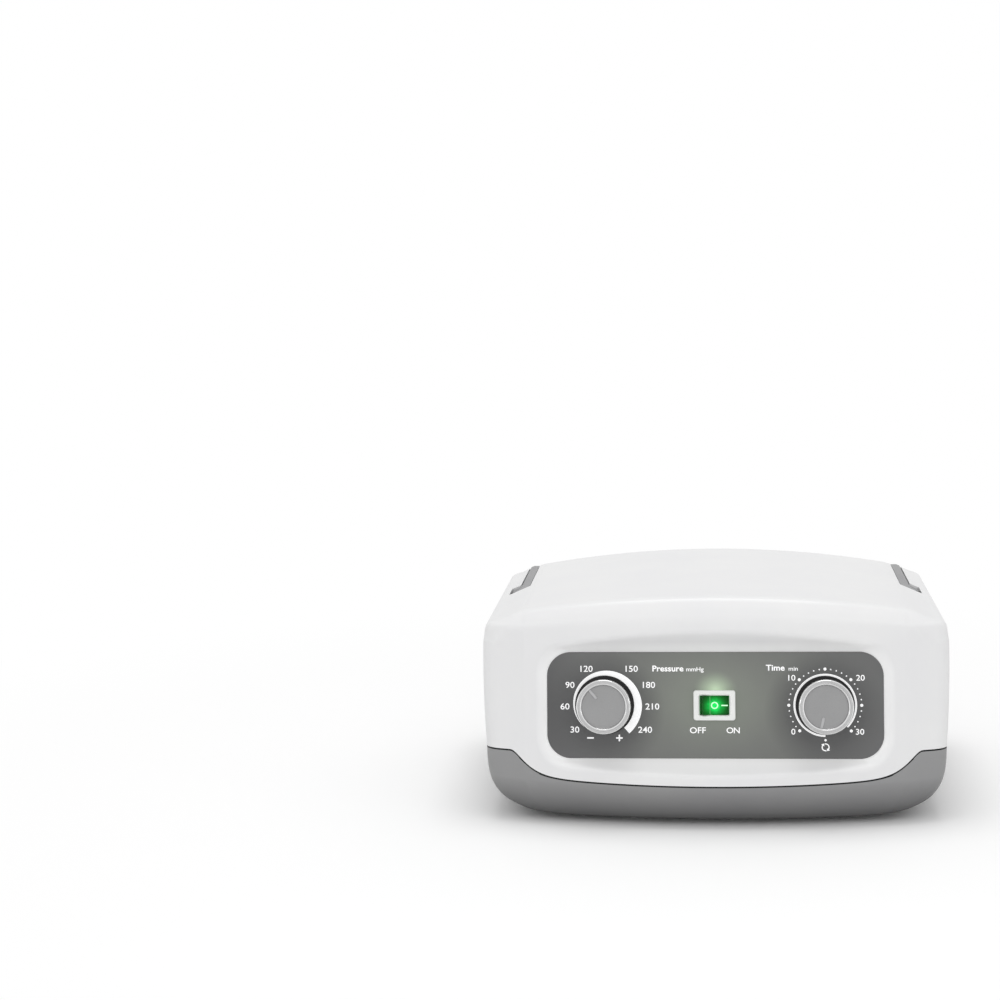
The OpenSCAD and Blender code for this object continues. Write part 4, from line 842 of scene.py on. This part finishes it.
def rgb(*values):
    """A colour from three display values, or a grey from one."""
    r, g, b = values if len(values) == 3 else values * 3
    return (linear(r), linear(g), linear(b), 1.0)


class Nodes:
    """Short ways to add and link the nodes of a tree."""

    def __init__(self, tree):
        self.nodes, self.links = tree.nodes, tree.links

    def add(self, kind, **settings):
        """A new node with these settings."""
        node = self.nodes.new(kind)
        for key, value in settings.items():
            setattr(node, key, value)
        return node

    def join(self, source, target):
        """Links a socket to an input, or gives the input a plain value."""
        if hasattr(source, "is_linked"):
            self.links.new(source, target)
        else:
            target.default_value = source

    def made(self, node, inputs):
        """The node, once its inputs are joined."""
        for key, value in inputs.items():
            self.join(value, node.inputs[key])
        return node

    def spread(self, source, low_in, high_in, low, high):
        """Maps low_in to high_in onto low to high, and holds the ends."""
        return self.made(self.add("ShaderNodeMapRange"), {
            "Value": source, "From Min": low_in, "From Max": high_in, "To Min": low,
            "To Max": high}).outputs["Result"]

    def mix(self, factor, one, two):
        """(1 - factor) one + factor two, for colours."""
        return self.made(self.add("ShaderNodeMix", data_type="RGBA"), {0: factor, 6: one, 7: two}).outputs[2]

    def calc(self, how, one, two=0.0):
        """One step of arithmetic on sockets or plain numbers."""
        return self.made(self.add("ShaderNodeMath", operation=how), {0: one, 1: two}).outputs[0]

    def length(self, a, b):
        """sqrt(a^2 + b^2)"""
        return self.calc("SQRT", self.calc("ADD", self.calc("MULTIPLY", a, a), self.calc("MULTIPLY", b, b)))


class Finish(Nodes):
    """A material with a Principled shader on Object coordinates."""

    def __init__(self, name):
        self.material = bpy.data.materials.new(name)
        self.material.use_nodes = True
        super().__init__(self.material.node_tree)
        self.shader = self.nodes["Principled BSDF"]
        self.place = self.add("ShaderNodeTexCoord").outputs["Object"]

    def axes(self):
        """The coordinates X, Y and Z as three sockets."""
        return self.made(self.add("ShaderNodeSeparateXYZ"), {0: self.place}).outputs

    def noise(self, scale, detail=3.0, rough=0.5, stretch=(1, 1, 1)):
        """Noise between about 0.3 and 0.7, in cells of 1/scale metres."""
        mapping = self.made(self.add("ShaderNodeMapping"), {"Scale": stretch, "Vector": self.place})
        return self.made(self.add("ShaderNodeTexNoise"), {
            "Scale": scale, "Detail": detail, "Roughness": rough,
            "Vector": mapping.outputs["Vector"]}).outputs["Fac"]

    def bump(self, height, strength, distance):
        """Tilts the normals by the slope of height times distance in metres."""
        bumped = self.made(self.add("ShaderNodeBump"), {
            "Strength": strength, "Distance": distance, "Height": height})
        self.join(bumped.outputs["Normal"], self.shader.inputs["Normal"])

    def set(self, **values):
        """Values or sockets for the shader's inputs, named with _ for a space."""
        for key, value in values.items():
            self.join(value, self.shader.inputs[key.replace("_", " ")])

    def tint(self, share, *tone):
        """Mixes the base colour so far with another tone, fully where share is 1."""
        base = self.shader.inputs["Base Color"]
        self.join(self.mix(share, base.links[0].from_socket, rgb(*tone)), base)


def moulded(name, colour, darker, roughness=0.4, grain_mm=0.35, bump=0.15, spread=0.08, stretch=(1, 1, 1)):
    """Moulded plastic or rubber: slow clouds between two near colours, fine grain in bump and gloss."""
    f = Finish(name)
    slow = f.spread(f.noise(18.0, 4.0, 0.55, stretch), 0.35, 0.65, 0.0, 1.0)
    fine = f.noise(1000.0 / grain_mm, 2.0, 0.5, stretch)
    f.set(Base_Color=f.mix(slow, rgb(*colour), rgb(*darker)), Specular_IOR_Level=0.45,
          Roughness=f.spread(fine, 0.3, 0.7, roughness - spread, roughness + spread))
    f.bump(fine, bump, 0.00003)
    return f


def metal(name, colour, darker, roughness=0.3, lines=1200.0, metallic=1.0, stretch=(1, 1, 1)):
    """Metal with fine drawn or turned lines: noise stretched along one direction."""
    f = Finish(name)
    drawn = f.noise(lines, 3.0, 0.6, stretch)
    f.set(Base_Color=f.mix(f.spread(drawn, 0.3, 0.7, 0, 1), rgb(*colour), rgb(*darker)), Metallic=metallic,
          Roughness=f.spread(f.noise(60.0), 0.3, 0.7, roughness - 0.06, roughness + 0.08))
    f.bump(drawn, 0.12, 0.00002)
    return f


# %% [markdown]
# The cover is glossy white, so it mirrors the lamps softly. The tub is mid grey with a finer grain.
# The knobs are satin silver with painted highlights on their rims, the panel is dark grey foil with painted
# shade round the dials and painted light round the lit switch, and the rocker is clear green plastic with a
# lamp behind it.

# %% Visible finishes


def cover_finish():
    """Glossy white, with painted light in the recess next to the panel: span is the distance from the
    rounded panel's inner rectangle, sqrt(dx^2 + dz^2), and the lighter painted tone fades out from 1 to 6 mm
    past the panel's edge. Only the front of the cover has it."""
    f = moulded("cover_white", (236, 236, 236), (233, 233, 234), 0.36, 0.5, 0.05, 0.03)
    place, corner = f.axes(), 0.012
    dx = f.calc("SUBTRACT", f.calc("ABSOLUTE", place["X"]), PANEL_W / 2000 - corner)
    up = f.calc("SUBTRACT", place["Z"], PANEL_Z / 1000)
    dz = f.calc("SUBTRACT", f.calc("ABSOLUTE", up), PANEL_H / 2000 - corner)
    span = f.length(f.calc("MAXIMUM", dx, 0.0), f.calc("MAXIMUM", dz, 0.0))
    near = f.spread(span, corner + 0.001, corner + 0.006, 1, 0)
    front = f.spread(place["Y"], (40 - MID_Y) / 1000, (45 - MID_Y) / 1000, 1, 0)
    # Painted light: the recess next to the panel is mixed towards a lighter white.
    f.tint(f.calc("MULTIPLY", near, front), 250)
    f.set(Coat_Weight=0.12, Coat_Roughness=0.15)
    return f


def tub_finish():
    """Mid grey plastic, darker over its lowest two centimetres as painted shade where the underside turns
    from the light: a ramp over the height mixes it with a dark grey."""
    f = moulded("tub_grey", (152, 152, 152), (147, 147, 148), 0.42, 0.45, 0.2, 0.06)
    # Painted shade: darker towards the bottom.
    f.tint(f.spread(f.axes()["Z"], FOOT_H / 1000, 0.023, 0.75, 0.0), 64, 64, 65)
    return f


def knob_finish():
    """Satin silver with painted highlights on its two turned edges: lighter rings at the radii of the rim's
    edges, with r the distance from the nearer knob's axis in the plane of the rim."""
    f = metal("knob_silver", (202, 202, 202), (190, 190, 191), 0.16, 2400.0, 0.8)
    place = f.axes()
    across = f.calc("SUBTRACT", f.calc("ABSOLUTE", place["X"]), KNOB_X / 1000)
    rim_z = (PANEL_Z + (KNOB_FOOT + KNOB_H) * s_lean) / 1000
    r = f.length(across, f.calc("DIVIDE", f.calc("SUBTRACT", place["Z"], rim_z), c_lean))
    painted_ring_highlight = 0.0
    for ring in (KNOB_FACE_R + 0.5, KNOB_R - 0.5):
        off = f.calc("ABSOLUTE", f.calc("SUBTRACT", r, ring / 1000))
        painted_ring_highlight = f.calc("ADD", painted_ring_highlight, f.spread(off, 0.0001, 0.00035, 1, 0))
    # Painted highlights: the rings are mixed towards a light grey.
    f.tint(painted_ring_highlight, 244)
    return f


def panel_finish():
    """Foil: grey that is lightest near the switch and darker towards the ends, painted shade round the two
    dials, and painted light as a glow above the lit switch, all functions of the distance in Object
    coordinates."""
    f = Finish("panel_grey")

    def away(x, up, stretch=(1.0, 1.0, 1.0)):
        """Distance in metres from a point on the panel, its axes scaled."""
        point = to_metres(to_panel(np.array([[x, up, 0.0]])))[0]
        scaled = f.made(f.add("ShaderNodeVectorMath", operation="MULTIPLY_ADD"), {
            0: f.place, 1: stretch, 2: [-a * b for a, b in zip(point, stretch)]})
        return f.made(f.add("ShaderNodeVectorMath", operation="LENGTH"), {
            0: scaled.outputs[0]}).outputs["Value"]

    ends = f.spread(away(0, 4, (0.62, 1.0, 1.0)), 0.012, 0.058, 0.0, 1.0)
    cloud = f.spread(f.noise(26.0, 3.0), 0.3, 0.7, -0.06, 0.06)
    f.set(Base_Color=f.mix(f.calc("ADD", ends, cloud), rgb(126, 129, 123), rgb(100, 100, 101)))
    f.tint(f.spread(away(-104, 0, (1.0, 0.5, 1.0)), 0.018, 0.045, 0.7, 0.0), 78, 78, 79)
    # Painted shade round each dial, where the knob shades the foil.
    for x in (-KNOB_X, KNOB_X):
        f.tint(f.calc("MULTIPLY", f.spread(away(x, -3), 0.017, 0.031, 1.0, 0.0), 0.8), 84, 84, 85)
    fine = f.noise(2600.0, 2.0)
    f.bump(fine, 0.08, 0.00002)
    # Painted light: a green glow on the foil above the lit switch, and a faint wider one.
    near = f.calc("POWER", f.spread(away(0.6, 7.5, (0.9, 1.0, 1.0)), 0.001, 0.0105, 1.0, 0.0), 1.6)
    wide = f.calc("POWER", f.spread(away(0, 1, (0.8, 1.0, 1.0)), 0.006, 0.027, 1.0, 0.0), 1.5)
    glow = f.calc("ADD", f.calc("MULTIPLY", near, 0.42), f.calc("MULTIPLY", wide, 0.035))
    f.set(Roughness=f.spread(fine, 0.3, 0.7, 0.4, 0.5), Emission_Color=(0.72, 1.0, 0.62, 1.0),
          Emission_Strength=glow)
    return f


def rocker_finish():
    """Green plastic lit from behind: the light falls off from the lamp at the middle to the edges."""
    f = Finish("rocker_green")
    place = f.axes()
    x = f.calc("ABSOLUTE", f.calc("SUBTRACT", place["X"], 0.0002))
    z = f.calc("ABSOLUTE", f.calc("SUBTRACT", place["Z"], PANEL_Z / 1000))
    across = f.calc("POWER", f.spread(x, 0.0010, 0.0080, 1.0, 0.03), 1.3)
    along = f.spread(z, 0.0010, 0.0052, 1.0, 0.2)
    ripple = f.spread(f.noise(900.0, 3.0), 0.3, 0.7, 0.86, 1.1)
    light = f.calc("MULTIPLY", f.calc("MULTIPLY", across, along), ripple)
    f.set(Base_Color=(0.002, 0.045, 0.006, 1.0), Specular_IOR_Level=0.12,
          Emission_Color=f.mix(light, (0.0, 0.20, 0.0, 1.0), (0.012, 0.78, 0.12, 1.0)),
          Emission_Strength=f.calc("MULTIPLY", light, 1.25),
          Roughness=f.spread(f.noise(700.0), 0.3, 0.7, 0.2, 0.3))
    return f


cover_white, tub_grey, knob_silver = cover_finish(), tub_finish(), knob_finish()
panel_grey, rocker_green = panel_finish(), rocker_finish()
handle_grey = moulded("handle_grey", (152, 152, 153), (145, 145, 147), 0.45, 0.45, 0.2, 0.06)
bezel_white = moulded("bezel_white", (243, 244, 242), (238, 240, 237), 0.3, 0.4, 0.05, 0.04)
print_white = moulded("print_white", (250, 250, 250), (244, 244, 245), 0.55, 0.25, 0.2, 0.05)
knob_face = metal("knob_face", (164, 164, 164), (157, 157, 158), 0.4, 2400.0, 0.5)
knob_mark = metal("knob_mark", (190, 190, 191), (182, 182, 183), 0.3, 2400.0, 0.55)
black_trim = moulded("black_trim", (12, 12, 13), (7, 7, 8), 0.35, 0.3, 0.15, 0.06)
# Painted shade for the tongue in the joint.
seam_dark = moulded("seam_dark", (14, 14, 15), (9, 9, 10), 0.6, 0.3, 0.2)
mark_light = moulded("mark_light", (210, 250, 214), (190, 240, 196), 0.5, 0.2, 0.1)
valley_light = moulded("valley_light", (90, 170, 100), (70, 150, 84), 0.4, 0.2, 0.1)

# %% [markdown]
# Inner parts carry finishes too, because a cutaway or an opened view shows them: cast alloy, moulded
# housings, steel, brass, rubber, clear hose and coloured leads. The lamp and the marks it shines through
# give light of their own. The light line along the rocker's valley glows as a painted highlight, and the
# prints glow weakly as painted light, which keeps their thin strokes white.

# %% Inner finishes, and what gives light
cast_alloy = metal("cast_alloy", (150, 152, 155), (124, 126, 130), 0.5, 500.0, 0.8)
steel = metal("steel", (190, 191, 193), (158, 160, 163), 0.28, stretch=(1, 6, 1))
brass = metal("brass", (202, 172, 104), (178, 146, 82), stretch=(1, 6, 1))
grey_moulding = moulded("grey_moulding", (92, 94, 97), (80, 82, 85), 0.42, 0.4, 0.25)
white_moulding = moulded("white_moulding", (226, 225, 220), (216, 214, 208), 0.4, 0.4, 0.2)
black_rubber = moulded("black_rubber", (36, 36, 37), (27, 27, 28), 0.7, 0.3, 0.35, 0.06)
hose_silicone = moulded("hose_silicone", (222, 222, 214), (206, 205, 196), 0.35, 0.6, 0.2, 0.06, (1, 0.3, 1))
hose_silicone.set(Transmission_Weight=0.3)
lead_sleeve = moulded("lead_sleeve", (104, 66, 40), (88, 54, 32), 0.45, 0.3, 0.2)
filter_felt = moulded("filter_felt", (214, 208, 190), (188, 182, 164), 0.9, 0.7, 0.9, 0.05)
lamp_glass = moulded("lamp_glass", (150, 240, 150), (120, 220, 124), 0.15, 0.4, 0.05)
# The prints and the valley line glow as painted light; the lamp and the rocker's marks are lit by the lamp.
for lit, colour, strength in (
        (print_white, (1, 1, 1, 1), 0.24), (mark_light, (0.45, 0.9, 0.5, 1), 0.55),
        (valley_light, (0.18, 0.55, 0.22, 1), 0.3), (lamp_glass, (0.3, 0.9, 0.35, 1), 0.8)):
    lit.set(Emission_Color=colour, Emission_Strength=strength)

# %% Which finish each piece has
WORN_BY = {
    cover_white: [cover, "upper_housing"], tub_grey: [tub, "lower_housing"],
    handle_grey: [handle, "carry_handle"], panel_grey: ["fascia_panel"],
    bezel_white: [bezel, "switch_body"], rocker_green: ["switch_rocker"],
    print_white: [pressure_print, timer_print, label_print], knob_mark: [pressure_mark, timer_mark],
    mark_light: [rocker_o, rocker_bar], valley_light: [valley_highlight_line],
    knob_silver: [pressure_skin, timer_skin, "pressure_knob", "timer_knob"],
    black_trim: ["knob_rings", "mains_inlet"], black_rubber: ["rubber_feet", "compressor_mounts"],
    steel: ["pressure_spindle", "timer_spindle", "handle_pins", "housing_screws", "socket_screws",
            "distributor_motor", "compressor_armature"],
    brass: ["spindle_nuts", "switch_terminals", "inlet_pins"], cast_alloy: ["compressor_case"],
    grey_moulding: ["pressure_regulator", "timer_movement", "compressor_heads", "distributor_rotor",
                    "air_socket_left", "air_socket_right"],
    white_moulding: ["distributor_body", "outlet_manifold", "tee_piece", "terminal_block"],
    hose_silicone: ["supply_hoses", "outlet_hoses"], lead_sleeve: ["wiring"], filter_felt: ["air_filter"],
    lamp_glass: ["switch_lamp"]}
dressed = set()
for worn, wearers in WORN_BY.items():
    for wearer in wearers:
        shown = frame["nodes"][wearer] if isinstance(wearer, str) else wearer
        shown.data.materials.clear()
        shown.data.materials.append(worn.material)
        dressed.add(shown.name)


def second_finish(shown, worn, choose):
    """Gives another finish to the faces whose centres, in millimetres of the housing, are chosen."""
    shown.data.materials.append(worn.material)
    centres = np.empty(3 * len(shown.data.polygons))
    shown.data.polygons.foreach_get("center", centres)
    chosen = choose(centres.reshape(-1, 3) * 1000 + [0, MID_Y, 0])
    shown.data.polygons.foreach_set("material_index", chosen.astype(np.int32))
    print(worn.material.name, int(chosen.sum()), "faces")


def on_knob_face(centres, axis_x):
    """Which faces lie on a knob's sunk face: nearer its axis than the rim's inner edge."""
    up = (centres[:, 2] - PANEL_Z) / c_lean - (KNOB_FOOT + FACE_H) * s_lean
    return np.hypot(centres[:, 0] - axis_x, up) < KNOB_FACE_R - 0.3


# The tongue of the tub, above its rim, lies in the shadow of the joint, and painted shade makes it dull and
# dark there. The sunk face of a knob is brushed and duller than its polished rim.
second_finish(tub, seam_dark, lambda c: c[:, 2] > split_z(c[:, 0]) - SPLIT_GAP / 2 + 0.05)
second_finish(pressure_skin, knob_face, lambda c: on_knob_face(c, -KNOB_X))
second_finish(timer_skin, knob_face, lambda c: on_knob_face(c, KNOB_X))
bare = set(frame["nodes"]) - dressed
assert not bare, bare
print(len(WORN_BY), "finishes on", len(dressed), "meshes")

# %% [markdown]
# ## Studio
# A pale floor that fades to plain white, a white surround that lights everything evenly, soft lamps
# overhead, in front and low down, and a small one at each side. The floor keeps the shadow near the
# pump, and is a little darker to the light it throws back than to the camera.

# %% Floor, world and lamps
FLOOR_HALF, FADE_FROM, FADE_TO, WORLD_LIGHT = 6.0, 0.2, 0.6, 0.78
floor_mesh = bpy.data.meshes.new("floor")
corners = np.array([[-1, -1, 0], [1, -1, 0], [1, 1, 0], [-1, 1, 0]]) * FLOOR_HALF
floor_mesh.from_pydata(corners.tolist(), [], [[0, 1, 2, 3]])
floor = bpy.data.objects.new("floor", floor_mesh)
bpy.context.scene.collection.objects.link(floor)
paper = Finish("floor_paper")
rays = paper.add("ShaderNodeLightPath").outputs
paper.set(Roughness=0.9, Specular_IOR_Level=0.0, Base_Color=paper.mix(
    rays["Is Camera Ray"], (0.75, 0.75, 0.75, 1), (0.98, 0.98, 0.98, 1)))
away = paper.made(paper.add("ShaderNodeVectorMath", operation="LENGTH"), {0: paper.place}).outputs["Value"]
fade = paper.spread(away, FADE_FROM, FADE_TO, 0.0, 1.0)
fade.node.interpolation_type = "SMOOTHSTEP"
seen = paper.calc("MAXIMUM", rays["Is Camera Ray"], rays["Is Glossy Ray"])
blend_out = paper.made(paper.add("ShaderNodeMixShader"), {
    0: paper.calc("MULTIPLY", fade, seen), 1: paper.shader.outputs[0],
    2: paper.add("ShaderNodeEmission").outputs[0]})
paper.join(blend_out.outputs[0], paper.nodes["Material Output"].inputs["Surface"])
floor.data.materials.append(paper.material)

world = bpy.data.worlds.new("studio")
bpy.context.scene.world = world
world.use_nodes = True
surround = Nodes(world.node_tree)
rays = surround.add("ShaderNodeLightPath").outputs
seen = surround.calc("MAXIMUM", rays["Is Camera Ray"], rays["Is Transmission Ray"])
surround.made(surround.nodes["Background"], {
    "Color": (1, 1, 1, 1), "Strength": surround.spread(seen, 0.0, 1.0, WORLD_LIGHT, 1.0)})


def lamp(name, place, aim, size, power):
    """A square area lamp at place, turned towards aim."""
    data = bpy.data.lights.new(name, "AREA")
    data.size, data.energy = size, power
    made = bpy.data.objects.new(name, data)
    bpy.context.scene.collection.objects.link(made)
    made.location = place
    made.rotation_euler = (Vector(aim) - Vector(place)).to_track_quat("-Z", "Y").to_euler()
    return made


lamp("overhead", (0.0, 0.15, 1.5), (0, 0, 0.05), 0.8, 5.5)
lamp("front", (-0.35, -1.45, 0.55), (0, 0, 0.05), 1.2, 0.8)
lamp("low", (0.1, -0.95, 0.14), (0, 0, 0.07), 0.26, 1.0).visible_glossy = False
for side in (-1, 1):
    lamp("side", (side * 0.95, -0.6, 0.3), (0, 0, 0.06), 0.16, 0.15)
bpy.context.scene.view_settings.view_transform = "Standard"
